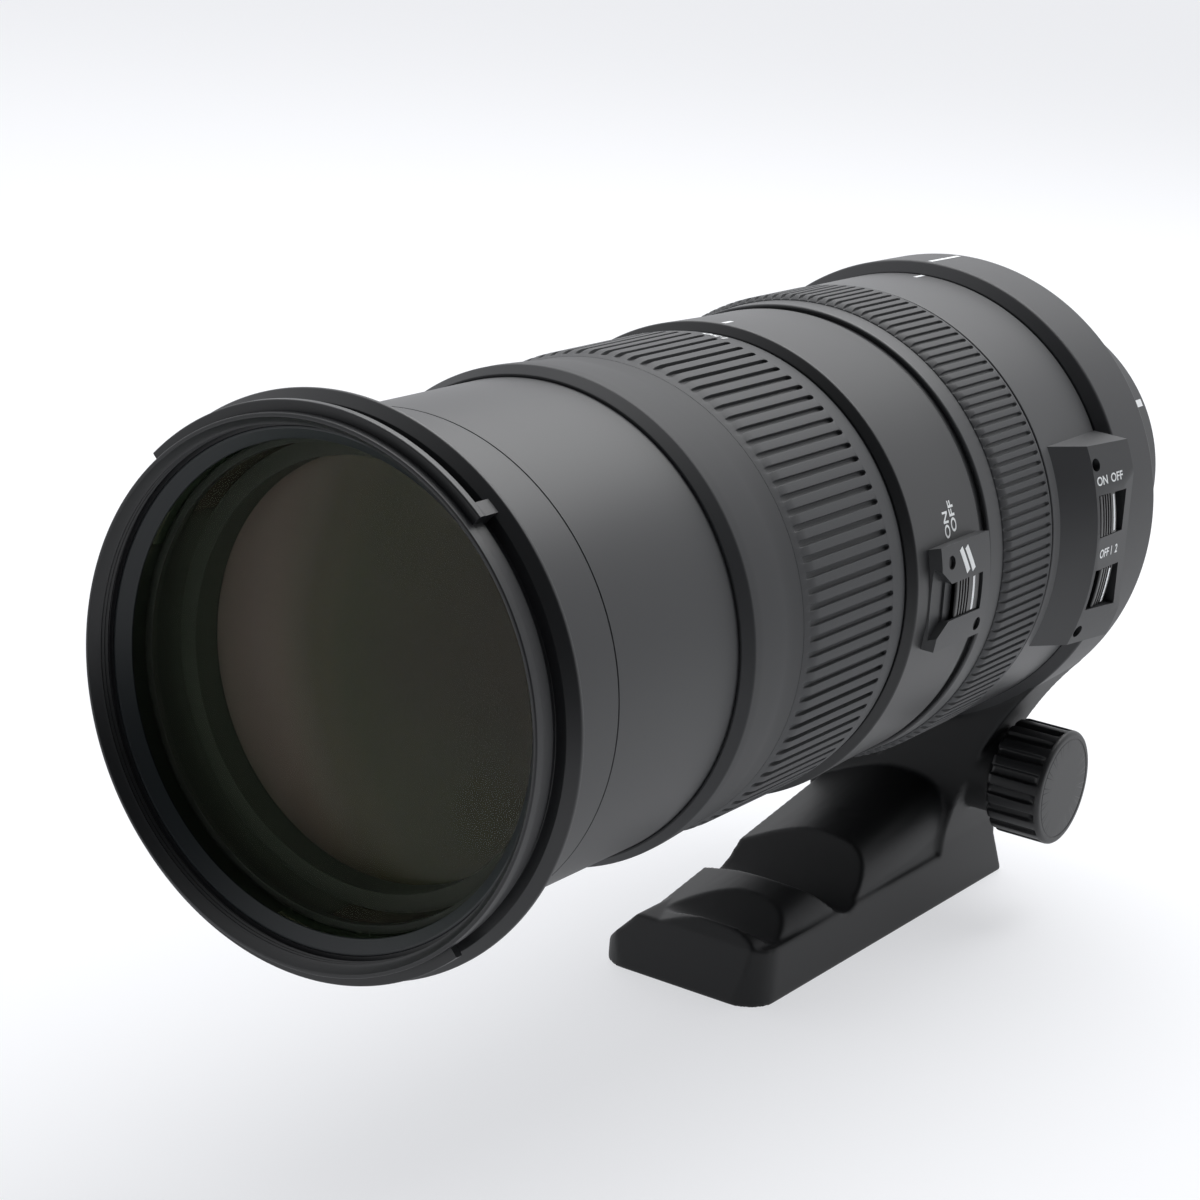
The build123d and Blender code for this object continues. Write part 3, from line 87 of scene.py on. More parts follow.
def rounded(points, steps=4):
    """Closed outline of (radius, place, fillet) with every corner rounded by its fillet."""
    longest_share = 0.48
    result = []
    for index, (radius, place, fillet) in enumerate(points):
        here = Vector((radius, place))
        if not fillet:
            result.append(here)
            continue
        before = Vector(points[index - 1][:2]) - here
        after = Vector(points[(index + 1) % len(points)][:2]) - here
        start = here + before.normalized() * min(fillet, before.length * longest_share)
        end = here + after.normalized() * min(fillet, after.length * longest_share)
        for step in range(steps + 1):
            share = step / steps
            result.append(start.lerp(here, share).lerp(here.lerp(end, share), share))
    return result


def mesh_object(name, vertices, faces, material):
    """A new object in metres from points in millimetres, doubles merged, faces outwards."""
    mesh = bpy.data.meshes.new(name)
    mesh.from_pydata([Vector(v) * MM for v in vertices], [], faces)
    work = bmesh.new()
    work.from_mesh(mesh)
    bmesh.ops.remove_doubles(work, verts=work.verts, dist=1e-7)
    bmesh.ops.recalc_face_normals(work, faces=work.faces)
    work.to_mesh(mesh)
    work.free()
    mesh.materials.append(material)
    piece = bpy.data.objects.new(name, mesh)
    bpy.context.collection.objects.link(piece)
    return piece


def applied(piece):
    """Leaves the piece one plain mesh with its modifiers applied."""
    graph = bpy.context.evaluated_depsgraph_get()
    mesh = bpy.data.meshes.new_from_object(piece.evaluated_get(graph))
    piece.modifiers.clear()
    piece.data = mesh
    mesh.name = piece.name
    return piece


def settle(piece, sharp=38):
    """Smooth shading that keeps edges above the sharp angle, and flat faces flat beside them."""
    piece.data.shade_smooth()
    piece.data.set_sharp_from_angle(angle=radians(sharp))
    weights = piece.modifiers.new("flat faces", "WEIGHTED_NORMAL")
    weights.keep_sharp = True
    return applied(piece)


def turned(name, outline, material, span=(0, 360), segments=288):
    """A piece turned about the lens axis, from +X towards +Z, from a closed outline."""
    profile = rounded(outline)
    start, end = span
    whole = end - start >= 360
    columns = segments if whole else max(2, ceil(segments * (end - start) / 360)) + 1
    vertices = []
    for column in range(columns):
        angle = radians(start + (end - start) * column / (columns if whole else columns - 1))
        vertices += [(p.x * cos(angle), p.y, p.x * sin(angle)) for p in profile]
    size = len(profile)
    faces = []
    for column in range(columns if whole else columns - 1):
        here, there = column * size, (column + 1) % columns * size
        for row in range(size):
            following = (row + 1) % size
            faces.append((here + row, here + following, there + following, there + row))
    if not whole:
        faces.append(tuple(range(size)))
        faces.append(tuple(range((columns - 1) * size, columns * size)))
    return mesh_object(name, vertices, faces, material)


def keep(piece, body, slot, *nodes):
    """Puts a piece on its body, in place of its CAD nodes; the slot is not used."""
    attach(piece, body)
    if nodes:
        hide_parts(*nodes)


# Satin enamel sprayed on turned aluminium: an even fine grain that softens every highlight.
satin_paint = finish_of("satin black paint", "#2e2f31", 0.45, 0.3, 0.006, Specular_IOR_Level=0.55)
barrel_radius, seat_radius, mount_radius, plate_radius, throat_radius = 46, 45.25, 33, 31.05, 24
sleeve_radius, bore_radius = 44.25, 43.4
barrel_front, sleeve_rear, seat_front, taper_front, taper_rear = -80.4, -73.2, -55.9, -34, -7
barrel_rear, plate_floor, throat_front, bore_rear = -1, -3, -6, -35.85
rear_barrel = settle(turned("rear_barrel_shell", [
    (sleeve_radius, barrel_front, 0.1), (barrel_radius, barrel_front, 0.35),
    (barrel_radius, seat_front, 0.25), (seat_radius, seat_front, 0.1), (seat_radius, taper_front, 0.4),
    (mount_radius, taper_rear, 0.6), (mount_radius, barrel_rear, 0.35),
    (plate_radius, barrel_rear, 0.15), (plate_radius, plate_floor, 0),
    (throat_radius, plate_floor, 0.2), (throat_radius, throat_front, 0.2),
    (plate_radius + 0.1, throat_front, 0), (bore_radius, bore_rear, 0),
    (bore_radius, sleeve_rear, 0), (sleeve_radius, sleeve_rear, 0),
], satin_paint))
keep(rear_barrel, "barrel", "satin_black_paint", "rear_barrel")

# ------------------------------------------------------------------------------------------------
# Camera mount. A plated brass bayonet plate, turned and milled, held by four screws. It carries a
# moulded light baffle and a contact block with gilt pins.
# ------------------------------------------------------------------------------------------------


def welded_copy(name, node, material, flat_angle=None):
    """A copy of a CAD node's mesh with its doubled corners merged; faces that meet at less than
    the flat angle in degrees become one."""
    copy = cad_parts[node].data.copy()
    copy.name = name
    copy.materials.clear()
    copy.materials.append(material)
    work = bmesh.new()
    work.from_mesh(copy)
    bmesh.ops.remove_doubles(work, verts=work.verts, dist=0.002 * MM)
    if flat_angle:
        bmesh.ops.dissolve_limit(work, angle_limit=radians(flat_angle), verts=work.verts,
                                 edges=work.edges)
    work.to_mesh(copy)
    work.free()
    if "custom_normal" in copy.attributes:
        copy.attributes.remove(copy.attributes["custom_normal"])
    piece = bpy.data.objects.new(name, copy)
    bpy.context.collection.objects.link(piece)
    return piece


def softened(name, node, material, edge, sharp=24, segments=2):
    """A copy of a CAD node's mesh with its edges broken as a real part's are."""
    piece = welded_copy(name, node, material, 0.5)
    bevel = piece.modifiers.new("broken edges", "BEVEL")
    bevel.width = edge * MM
    bevel.segments = segments
    bevel.limit_method = "ANGLE"
    bevel.angle_limit = radians(sharp)
    bevel.miter_outer = "MITER_ARC"
    bevel.use_clamp_overlap = True
    return settle(piece, sharp)


# Chrome plated on turned brass, left satin: bright, with slightly soft reflections.
plated_metal = finish_of("satin chrome plate", "#b9b7b2", 0.24, Metallic=1)
# Gold flashed on pressed pins: small warm glints.
gilt = finish_of("gilt contact", "#d8b36a", 0.25, Metallic=1)
# Resin from a finely etched mould: dull black that keeps stray light down.
moulded_black = finish_of("moulded black ABS", "#1b1c1e", 0.48, 0.25, 0.004)
# Steel screws blackened in a hot bath: dark with a narrow metallic glint.
black_screw_steel = finish_of("blackened screw steel", "#17181a", 0.32, Metallic=0.6)
mount_pieces = (
    ("bayonet_plate", "mount_plate", plated_metal, 0.15, "mount_metal"),
    ("mount_screw_heads", "mount_screws", plated_metal, 0.1, "bright_steel"),
    ("light_baffle", "rear_baffle", moulded_black, 0.1, "inner_resin"),
    ("contact_carrier", "contact_block", moulded_black, 0.12, "inner_resin"),
    ("contact_tips", "contact_pins", gilt, 0.08, "contact_gold"),
)
for name, node, material, edge, slot in mount_pieces:
    keep(softened(name, node, material, edge), "barrel", slot, node)

# ------------------------------------------------------------------------------------------------
# Tripod collar. A magnesium casting, ring, neck and foot in one. The ring is turned after casting
# and has the barrel's satin paint; the neck, the foot and its finger waves keep rounded cast edges
# and a duller coat.
# ------------------------------------------------------------------------------------------------
# The same sprayed satin paint on a turned casting: a slightly coarser grain.
collar_paint = finish_of("satin black paint on cast magnesium", "#222326", 0.5, 0.35, 0.008)
# Rough cast skin paint: duller than on the turned ring, darker as painted shade under the lens.
foot_paint_with_painted_shade = finish_of("cast foot paint with painted shade", "#141517", 0.56, 0.35, 0.008,
                       Specular_IOR_Level=0.42)
collar_bore, collar_radius, collar_front, collar_rear = 45.31, 48.4, -55.3, -36.4
collar_ring = settle(turned("collar_ring", [
    (collar_bore, collar_front, 0.1), (46.1, collar_front, 0.1), (collar_radius, -53.4, 0.5),
    (48.2, -37.4, 0.5), (47.2, collar_rear, 0.3), (collar_bore, collar_rear, 0.15),
], collar_paint))


def cut_away(piece, cutter):
    """Cuts one shape out of a piece and removes the cutter."""
    cut = piece.modifiers.new("cut", "BOOLEAN")
    cut.object = cutter
    cut.operation = "DIFFERENCE"
    cut.solver = "EXACT"
    applied(piece)
    bpy.data.objects.remove(cutter)
    return piece


# The ring is cut out of the casting here, and what is left above this height is dropped.
casting_top = -28.5
ring_cutter = turned("inside_ring", [(0, -70, 0), (46.6, -70, 0), (46.6, -20, 0), (0, -20, 0)],
                     foot_paint_with_painted_shade)
collar_foot = cut_away(welded_copy("collar_foot", "tripod_collar", foot_paint_with_painted_shade), ring_cutter)
work = bmesh.new()
work.from_mesh(collar_foot.data)
upper = [v for v in work.verts if v.co.z > casting_top * MM]
bmesh.ops.delete(work, geom=upper, context="VERTS")
bmesh.ops.holes_fill(work, edges=work.edges)
work.to_mesh(collar_foot.data)
work.free()
even = collar_foot.modifiers.new("even mesh", "REMESH")
even.mode = "VOXEL"
even.voxel_size = 0.45 * MM
relaxed = collar_foot.modifiers.new("cast edges", "SMOOTH")
relaxed.factor = 0.5
relaxed.iterations = 4
applied(collar_foot)
foot_base = -87 * MM
for vertex in collar_foot.data.vertices:
    if vertex.co.z < foot_base + 0.35 * MM:
        vertex.co.z = foot_base
collar_foot.data.shade_smooth()
keep(collar_ring, "collar", "collar_paint", "tripod_collar")
keep(collar_foot, "collar", "collar_paint", "tripod_collar")

# ------------------------------------------------------------------------------------------------
# Clamp knob. A moulded knob with eighteen finger grooves and a flat face, on a steel screw that
# draws the two sides of the slit collar together.
# ------------------------------------------------------------------------------------------------


def copies_tree():
    """Geometry nodes that copy one piece about the lens axis by an even step and weld them."""
    tree = bpy.data.node_groups.new("copies about the axis", "GeometryNodeTree")
    for label, kind in (("Piece", "Geometry"), ("Count", "Int"), ("Step", "Float"),
                        ("Material", "Material")):
        tree.interface.new_socket(label, in_out="INPUT", socket_type="NodeSocket" + kind)
    tree.interface.new_socket("Copies", in_out="OUTPUT", socket_type="NodeSocketGeometry")
    given = add(tree, "NodeGroupInput")
    line = add(tree, "GeometryNodeMeshLine", {"Offset": (0, 0, 0)}, {"Count": given.outputs["Count"]})
    index = add(tree, "GeometryNodeInputIndex")
    angle = add(tree, "ShaderNodeMath", None, {0: index.outputs[0], 1: given.outputs["Step"]},
                operation="MULTIPLY")
    turn = add(tree, "ShaderNodeCombineXYZ", None, {"Y": angle.outputs[0]})
    turn = add(tree, "FunctionNodeEulerToRotation", None, {"Euler": turn.outputs[0]})
    placed = add(tree, "GeometryNodeInstanceOnPoints", None, {
        "Points": line.outputs["Mesh"], "Instance": given.outputs["Piece"],
        "Rotation": turn.outputs[0]})
    real = add(tree, "GeometryNodeRealizeInstances", None, {"Geometry": placed.outputs["Instances"]})
    welded = add(tree, "GeometryNodeMergeByDistance", {"Distance": 2e-6},
                 {"Geometry": real.outputs["Geometry"]})
    finish = add(tree, "GeometryNodeSetMaterial", None, {
        "Geometry": welded.outputs["Geometry"], "Material": given.outputs["Material"]})
    add(tree, "NodeGroupOutput", None, {"Copies": finish.outputs["Geometry"]})
    return tree


copies = copies_tree()


def repeat(piece, count, material):
    """Fills the ring with copies of the piece and leaves one plain mesh."""
    modifier = piece.modifiers.new("copies", "NODES")
    modifier.node_group = copies
    sockets = {s.name: s.identifier for s in copies.interface.items_tree if s.in_out == "INPUT"}
    modifier[sockets["Count"]] = count
    modifier[sockets["Step"]] = 2 * pi / count
    modifier[sockets["Material"]] = material
    return applied(piece)


def grooved_strip(name, rows, inside, count, edge, material):
    """One pitch of a grooved ring; a row is (place, top radius, groove depth, half width)."""
    half_pitch = pi / count
    half_columns = 6
    plain_half, softest_share = 0.5, 0.6
    loop = rows + [(place, radius, None, plain_half) for radius, place in inside]
    vertices = []
    for side in range(-half_columns, half_columns + 1):
        reach = abs(side)
        for place, top, depth, half in loop:
            soft = min(edge, half * softest_share)
            if reach == half_columns:
                angle = half_pitch
            else:
                offset = (0, half * 0.45, half - soft * 0.55, half - soft * 0.15, half + soft * 0.3,
                          half + soft)[reach]
                angle = min(offset / max(top, 0.5), half_pitch * (0.85 + 0.02 * reach))
            lower = 0
            if depth is not None and reach < half_columns:
                soft_depth = min(edge, depth * 0.45)
                lower = (depth, depth, depth - soft_depth * 0.3, depth - soft_depth,
                         soft_depth * 0.3, 0)[reach]
            angle = angle if side > 0 else -angle
            angle = 0 if side == 0 else angle
            radius = top - lower
            vertices.append((radius * cos(angle), place, radius * sin(angle)))
    size = len(loop)
    faces = []
    for column in range(2 * half_columns):
        for row in range(size):
            following = (row + 1) % size
            here, there = column * size, (column + 1) * size
            faces.append((here + row, here + following, there + following, there + row))
    return mesh_object(name, vertices, faces, material)


# Resin moulded in an etched tool: dark, with soft light on each lobe.
knob_black = finish_of("moulded knob resin", "#1c1d1f", 0.45, 0.3, 0.006)
knob_back, knob_face, knob_radius, knob_grooves = 27.4, 39.8, 12.24, 18
knob_rows = [
    (knob_back, 11.0, 0.9, 0.9), (knob_back + 0.15, 11.6, 1.0, 0.95), (knob_back + 0.6, 12.1, 1.0, 1),
    (knob_back + 1.2, knob_radius, 1.0, 1), (knob_face - 2.6, knob_radius, 1.0, 1),
    (knob_face - 2.0, knob_radius, 0.85, 0.95), (knob_face - 1.5, knob_radius, 0.6, 0.95),
    (knob_face - 1.15, knob_radius, 0.3, 0.9), (knob_face - 0.95, knob_radius, 0.0, 1.2),
    (knob_face - 0.55, knob_radius - 0.08, 0, 1.2), (knob_face - 0.25, knob_radius - 0.3, 0, 1.2),
    (knob_face - 0.06, knob_radius - 0.6, 0, 1.2), (knob_face, knob_radius - 0.95, 0, 1.2),
    (knob_face, knob_radius - 1.5, 0, 1.2), (knob_face - 0.12, knob_radius - 1.6, 0, 1.2),
    (knob_face - 0.12, knob_radius - 1.8, 0, 1.2), (knob_face - 0.02, knob_radius - 1.9, 0, 1.2),
    (knob_face - 0.02, 6, 0, 1.2),
]
knob = grooved_strip("knob_body", knob_rows, [(0, knob_face - 0.02), (0, knob_back)], knob_grooves,
                     0.35, knob_black)
repeat(knob, knob_grooves, knob_black)
# The knob is made about the lens axis, then laid along X on the clamp screw.
knob_place = Matrix.Translation((0, -45 * MM, -57 * MM))
knob.data.transform(knob_place @ Matrix.Rotation(radians(-90), 4, "Z"))
settle(knob, 50)
keep(knob, "knob", "knob_plastic", "clamp_knob")

# ------------------------------------------------------------------------------------------------
# Switch panel. A moulded block screwed to the rear barrel, with two windows for the thumb sliders
# and a screw sunk deep at each front corner.
# ------------------------------------------------------------------------------------------------
# Resin with an etched grain, a little lighter than the paint around it.
panel_black = finish_of("moulded panel resin", "#2e2f31", 0.46, 0.3, 0.006)
# Resin from a polished mould: near black with a sharp line of light on each rib.
slider_black = finish_of("polished slider resin", "#0f1011", 0.3)


def joined(pieces):
    """Joins pieces into the first one."""
    work = bmesh.new()
    for piece in pieces:
        work.from_mesh(piece.data)
    work.to_mesh(pieces[0].data)
    work.free()
    for piece in pieces[1:]:
        bpy.data.objects.remove(piece)
    return pieces[0]


def thumb_slider(name, azimuth, half, floor, top, front, rear, body, node):
    """A curved slider: four cross ribs on its front part, a wider base under the window's edges."""
    rib_pitch, rib_depth, rib_gap, base_height, base_reach = 1.1, 0.5, 0.5, 0.65, 0.6
    rows = [(floor, front, 0.05), (top, front, 0.3)]
    for rib in range(4):
        place = front + rib_pitch * (rib + 1)
        rows += [(top, place, 0.08), (top - rib_depth, place, 0.1),
                 (top - rib_depth, place + rib_gap, 0.1), (top, place + rib_gap, 0.08)]
    rows += [(top, rear, 0.3), (floor, rear, 0.05)]
    reach = half / top * 180 / pi
    stem = turned(name, rows, slider_black, (azimuth - reach, azimuth + reach), 720)
    reach = (half + base_reach) / floor * 180 / pi
    base = turned("base", [(floor, front, 0), (floor + base_height, front, 0),
                           (floor + base_height, rear, 0), (floor, rear, 0)],
                  slider_black, (azimuth - reach, azimuth + reach), 360)
    piece = joined([stem, base])
    edges = piece.modifiers.new("moulded edges", "BEVEL")
    edges.width = 0.12 * MM
    edges.segments = 2
    edges.limit_method = "ANGLE"
    edges.angle_limit = radians(60)
    keep(settle(piece, 40), body, "slider_plastic", node)


keep(softened("switch_block", "switch_panel", panel_black, 0.35, 20, 3), "barrel", "panel_plastic",
     "switch_panel")
thumb_slider("front_slider", 9, 4.05, 48.5, 50.5, -68.4, -61.1, "focus_mode", "focus_mode_slider")
thumb_slider("middle_slider", -8, 4.05, 48.5, 50.5, -66.2, -60.8, "stabiliser_mode",
             "stabiliser_slider")
keep(softened("panel_screw_heads", "panel_screws", black_screw_steel, 0.1), "barrel", "black_screw",
     "panel_screws")

# ------------------------------------------------------------------------------------------------
# Fixed barrel between the two grips. Turned aluminium in satin black paint, slightly conical, with
# a chamfered front face and a dark groove behind it. Its thin neck carries the focus ring.
# ------------------------------------------------------------------------------------------------
# Satin enamel on a finely turned tube: a longer, brighter highlight, and darker as painted shade.
main_paint_with_painted_shade = finish_of("fixed barrel satin paint with painted shade", "#1e1f21", 0.44, 0.3, 0.006)
main_front, main_rear, neck_rear, bearing_rear = -135.3, -107.8, -105.7, -129.2
main_barrel = turned("main_barrel_shell", [
    (43, main_front, 0.05), (43.34, main_front, 0.1), (45, -134.2, 0.35), (44.5, -118, 0),
    (44.4, -108.1, 0.3), (44.2, main_rear, 0.1), (43.9, main_rear, 0), (43.9, neck_rear, 0),
    (44.2, neck_rear, 0), (44.2, sleeve_rear, 0), (bore_radius, sleeve_rear, 0),
    (bore_radius, bearing_rear, 0), (43, bearing_rear, 0),
], main_paint_with_painted_shade)
link_window = turned("link_window", [(42, -88.3, 0), (46, -88.3, 0), (46, -83.7, 0), (42, -83.7, 0)],
                     main_paint_with_painted_shade, (162.2, 277.8))
cut_away(main_barrel, link_window)
keep(settle(main_barrel), "barrel", "satin_black_paint", "main_barrel")

# ------------------------------------------------------------------------------------------------
# Zoom lock. A small moulded panel beside the zoom ring, with a finger scoop that leads into the
# window of its ribbed slider.
# ------------------------------------------------------------------------------------------------
keep(softened("lock_block", "lock_panel", panel_black, 0.16, 20), "barrel", "panel_plastic",
     "lock_panel")
thumb_slider("lock_thumb_slider", 1.3, 3.4, 45.55, 46.6, -122.15, -112.85, "zoom_lock", "lock_slider")

# ------------------------------------------------------------------------------------------------
# Focus ring. A turned sleeve with a narrow plain band in front and a rubber grip with 144 fine
# ribs. The rubber is dull and reads a little lighter than the paint beside it.
# ------------------------------------------------------------------------------------------------
focus_front, focus_rear, focus_radius, focus_rib_count = -105.7, -81, 45.2, 144
focus_sleeve = settle(turned("focus_sleeve_shell", [
    (44.25, focus_front, 0.1), (44.75, focus_front, 0.15), (45, -105.4, 0.25),
    (focus_radius, -100.6, 0.05), (focus_radius, focus_rear, 0), (44.5, focus_rear, 0),
    (44.5, -100.7, 0), (44.25, -100.7, 0),
], satin_paint))
keep(focus_sleeve, "focus_ring", "satin_black_paint", "focus_sleeve")
# Rubber moulded in an etched tool: matt, so that only its ribs draw the light.
grip_rubber = finish_of("moulded grip rubber", "#38393b", 0.62, 0.25, 0.006)
focus_rows = [
    (-100.6, 45.3, 0, 0.1), (-100.45, 45.45, 0.15, 0.2), (-99.9, 45.8, 0.45, 0.34),
    (-99.2, 46.1, 0.6, 0.38), (-98.6, 46.2, 0.6, 0.38), (-90, 46.2, 0.6, 0.38),
    (-82.9, 46.2, 0.6, 0.38), (-82.45, 46.2, 0.5, 0.34), (-82.15, 46.2, 0.25, 0.2),
    (-82.0, 46.2, 0.0, 0.08), (-81.5, 46.2, 0, 0.1), (-81.15, 46.05, 0, 0.1), (-81.0, 45.8, 0, 0.1),
]
focus_seat = [(focus_radius, focus_rear), (focus_radius, -100.6)]
focus_grip = grooved_strip("focus_grip", focus_rows, focus_seat, focus_rib_count, 0.14, grip_rubber)
repeat(focus_grip, focus_rib_count, grip_rubber)
keep(settle(focus_grip, 55), "focus_ring", "grip_rubber", "focus_rubber")

# ------------------------------------------------------------------------------------------------
# Zoom ring. A turned sleeve with a flared lip and a waisted plain band, and a coarse rubber grip
# of 100 ribs. The grip's smooth rear margin carries the focal lengths.
# ------------------------------------------------------------------------------------------------
# Satin enamel on the zoom sleeve, a flatter coat than on the fixed barrel.
zoom_paint = finish_of("satin black paint on the zoom sleeve", "#2b2c2e", 0.56, 0.3, 0.006,
                       Specular_IOR_Level=0.36)
zoom_front, grip_front, grip_rear, sleeve_top, zoom_rib_count = -190.9, -171.5, -135.9, 42.95, 100
zoom_sleeve = settle(turned("zoom_sleeve_shell", [
    (42.06, zoom_front, 0.1), (42.5, zoom_front, 0.15), (43.9, -188.7, 0.3), (43.88, -186.5, 0.6),
    (43.68, -183.2, 0), (43.48, -180, 0), (43.2, -177, 0.8), (43.08, -174.5, 0),
    (43.06, grip_front, 0.1), (sleeve_top, grip_front, 0), (sleeve_top, -96.0, 0), (42.3, -96.0, 0),
    (42.3, -186.5, 0), (42.06, -186.5, 0),
], zoom_paint))
keep(zoom_sleeve, "zoom_ring", "satin_black_paint", "zoom_sleeve")
zoom_rows = [
    (-171.5, 43.08, 0, 0.2), (-170.9, 43.22, 0, 0.3), (-170.0, 43.42, 0.05, 0.5),
    (-169.85, 43.46, 0.32, 0.56), (-169.3, 43.62, 0.48, 0.56), (-168.4, 43.8, 0.68, 0.54),
    (-167.5, 43.9, 0.8, 0.52), (-160, 43.9, 0.82, 0.5), (-150, 43.9, 0.82, 0.5),
    (-142.2, 43.9, 0.82, 0.5), (-141.9, 43.9, 0.78, 0.44), (-141.68, 43.9, 0.7, 0.33),
    (-141.52, 43.9, 0.5, 0.18), (-141.47, 43.9, 0, 0.06), (-141.1, 43.89, 0, 0.2),
    (-139, 43.75, 0, 0.3), (-137.4, 43.55, 0, 0.3), (-136.2, 43.3, 0, 0.3), (-135.95, 43.1, 0, 0.3),
]
zoom_seat = [(sleeve_top, grip_rear), (sleeve_top, grip_front)]
zoom_grip = grooved_strip("zoom_grip", zoom_rows, zoom_seat, zoom_rib_count, 0.13, grip_rubber)
repeat(zoom_grip, zoom_rib_count, grip_rubber)
keep(settle(zoom_grip, 55), "zoom_ring", "grip_rubber", "zoom_rubber")

# ------------------------------------------------------------------------------------------------
# Sliding front tube. A smooth thin-walled tube in satin black, with a fine seam behind the front
# ring. It comes out of the zoom ring as the lens zooms in.
# ------------------------------------------------------------------------------------------------
# Smooth enamel on a drawn and turned tube: the finest grain and the cleanest shading.
tube_paint = finish_of("smooth satin black paint", "#2b2c2e", 0.46, 0.25, 0.004)
tube_radius, tube_bore, seam_radius, tube_front, tube_rear = 42, 41.2, 41.86, -243.8, -102
front_tube = settle(turned("sliding_tube", [
    (tube_bore, tube_front, 0), (tube_radius, tube_front, 0), (tube_radius, -226.6, 0.05),
    (seam_radius, -226.55, 0), (seam_radius, -226.3, 0), (tube_radius, -226.25, 0.05),
    (tube_radius, tube_rear, 0.1), (tube_bore, tube_rear, 0.1),
], tube_paint))
keep(front_tube, "front_barrel", "satin_black_paint", "front_tube")

# ------------------------------------------------------------------------------------------------
# Front ring. Moulded black ring with the hood's bayonet outside, two long tabs each ending in a
# stop, and the filter thread inside. The glass behind it is held by a sloping blue-grey ring.
# ------------------------------------------------------------------------------------------------
# Smooth resin from a polished mould: black, with thin lines of light on its edges.
bezel_black = finish_of("smooth black resin", "#202123", 0.42, 0.3, 0.003, Specular_IOR_Level=0.5)
thread_pitch, thread_root, thread_crest, first_crest = 0.8, 42.95, 42.62, -250.3
rim_front, rim_radius, groove_radius, flange_front, flange_radius = -252, 44.5, 43.7, -246.0, 47.35
tab_front, tab_rear, tab_radius, stop_rear, stop_width = -250.2, -248.7, 46.3, -245.4, 3.2
thread = [(43.1, -250.75, 0)]
for turn in range(3):
    crest = first_crest + thread_pitch * turn
    thread += [(thread_crest, crest - 0.08, 0), (thread_crest, crest + 0.08, 0),
               (thread_root, crest + thread_pitch / 2, 0)]
front_ring = turned("front_ring", [
    (tube_bore, tube_front, 0.05), (tube_bore, -246, 0.05), (42.05, -246, 0), (42.05, -248.1, 0),
    (thread_root, -248.1, 0.1), *reversed(thread), (43.9, rim_front, 0.15),
    (rim_radius, rim_front, 0.25), (rim_radius + 0.05, -250.35, 0.05), (44.3, -250.25, 0),
    (44.3, -247.4, 0.25), (groove_radius, -247.4, 0.1), (groove_radius, flange_front, 0.15),
    (45.6, flange_front, 0.1), (flange_radius, -244.5, 0.25), (flange_radius, tube_front, 0.2),
], bezel_black)
parts = [front_ring]
for start, end in ((49.5, 136), (-133.5, -47)):
    parts.append(turned("tab", [(43.5, tab_front, 0), (tab_radius, tab_front, 0.3),
                                (tab_radius, tab_rear, 0.3), (43.5, tab_rear, 0)],
                        bezel_black, (start, end)))
    parts.append(turned("tab_stop", [(43.4, -249.2, 0), (46.2, -249.2, 0.2), (46.2, stop_rear, 0.1),
                                     (43.4, stop_rear, 0)], bezel_black, (start, start + stop_width)))
keep(settle(joined(parts)), "front_barrel", "bezel_black", "front_bezel")
# Anodised turned aluminium: a cold, dark blue-grey slope.
ring_finish = finish_of("blue-grey anodised aluminium", "#1f2427", 0.42, Specular_IOR_Level=0.4)
holding_ring = settle(turned("glass_holding_ring", [
    (42, -248.1, 0.1), (41.6, -248.1, 0.15), (39.72, -246.25, 0.1), (39.72, -246, 0), (42, -246, 0),
], ring_finish))
keep(holding_ring, "front_barrel", "retainer_metal", "front_retaining_ring")

# ------------------------------------------------------------------------------------------------
# Front glass. Three large elements with anti-reflection coatings, in a blackened cell. The outer
# two are seen through; the third has a painted reflection in its colour, from a dark olive middle
# to mauve at the rim on its -X side.
# ------------------------------------------------------------------------------------------------


def lens_surface(radius, edge, bulge, steps=24):
    """Points of a spherical face from the axis out; a positive bulge stands to the front."""
    sphere = (radius ** 2 + bulge ** 2) / (2 * abs(bulge))
    sign = 1 if bulge > 0 else -1
    points = []
    for step in range(steps + 1):
        r = radius * step / steps
        rise = abs(bulge) - (sphere - (sphere ** 2 - r ** 2) ** 0.5)
        points.append((r, edge - sign * rise))
    return points


def element(name, radius, front, rear, front_bulge, rear_bulge, material):
    """A ground element; a bulge is positive where that face is convex."""
    chamfer = 0.35
    clear = radius - chamfer
    outline = [(r, y, 0) for r, y in lens_surface(clear, front, front_bulge)]
    outline += [(radius, front, 0), (radius, rear, 0)]
    outline += [(r, y, 0) for r, y in reversed(lens_surface(clear, rear, -rear_bulge))]
    return settle(turned(name, outline, material, segments=192), 30)


def clear_glass(name, tint, ior):
    """Coated glass seen straight through, with a faint tinted reflection."""
    material = bpy.data.materials.new(name)
    material.use_nodes = True
    tree = material.node_tree
    tree.nodes.remove(tree.nodes["Principled BSDF"])
    through = add(tree, "ShaderNodeBsdfTransparent", {"Color": (0.97, 0.97, 0.96, 1)})
    shine = add(tree, "ShaderNodeBsdfGlossy", {"Color": colour(tint), "Roughness": 0.02})
    edge = add(tree, "ShaderNodeFresnel", {"IOR": ior})
    mixed = add(tree, "ShaderNodeMixShader", None, {
        0: edge.outputs[0], 1: through.outputs[0], 2: shine.outputs[0]})
    tree.links.new(mixed.outputs[0], tree.nodes["Material Output"].inputs["Surface"])
    return material


# Polished and coated glass: nearly clear, a faint green and a faint amber reflection.
outer_glass = clear_glass("green-coated glass", "#8a9c84", 1.14)
second_glass = clear_glass("amber-coated glass", "#a08f86", 1.08)
keep(element("front_glass", 40, -246, -242.6, 3.6, -1.2, outer_glass), "front_barrel", "coated_glass",
     "front_element_1")
keep(element("second_glass", 38.6, -241.5, -235.5, -2.6, -1.5, second_glass), "front_barrel",
     "coated_glass", "front_element_2")
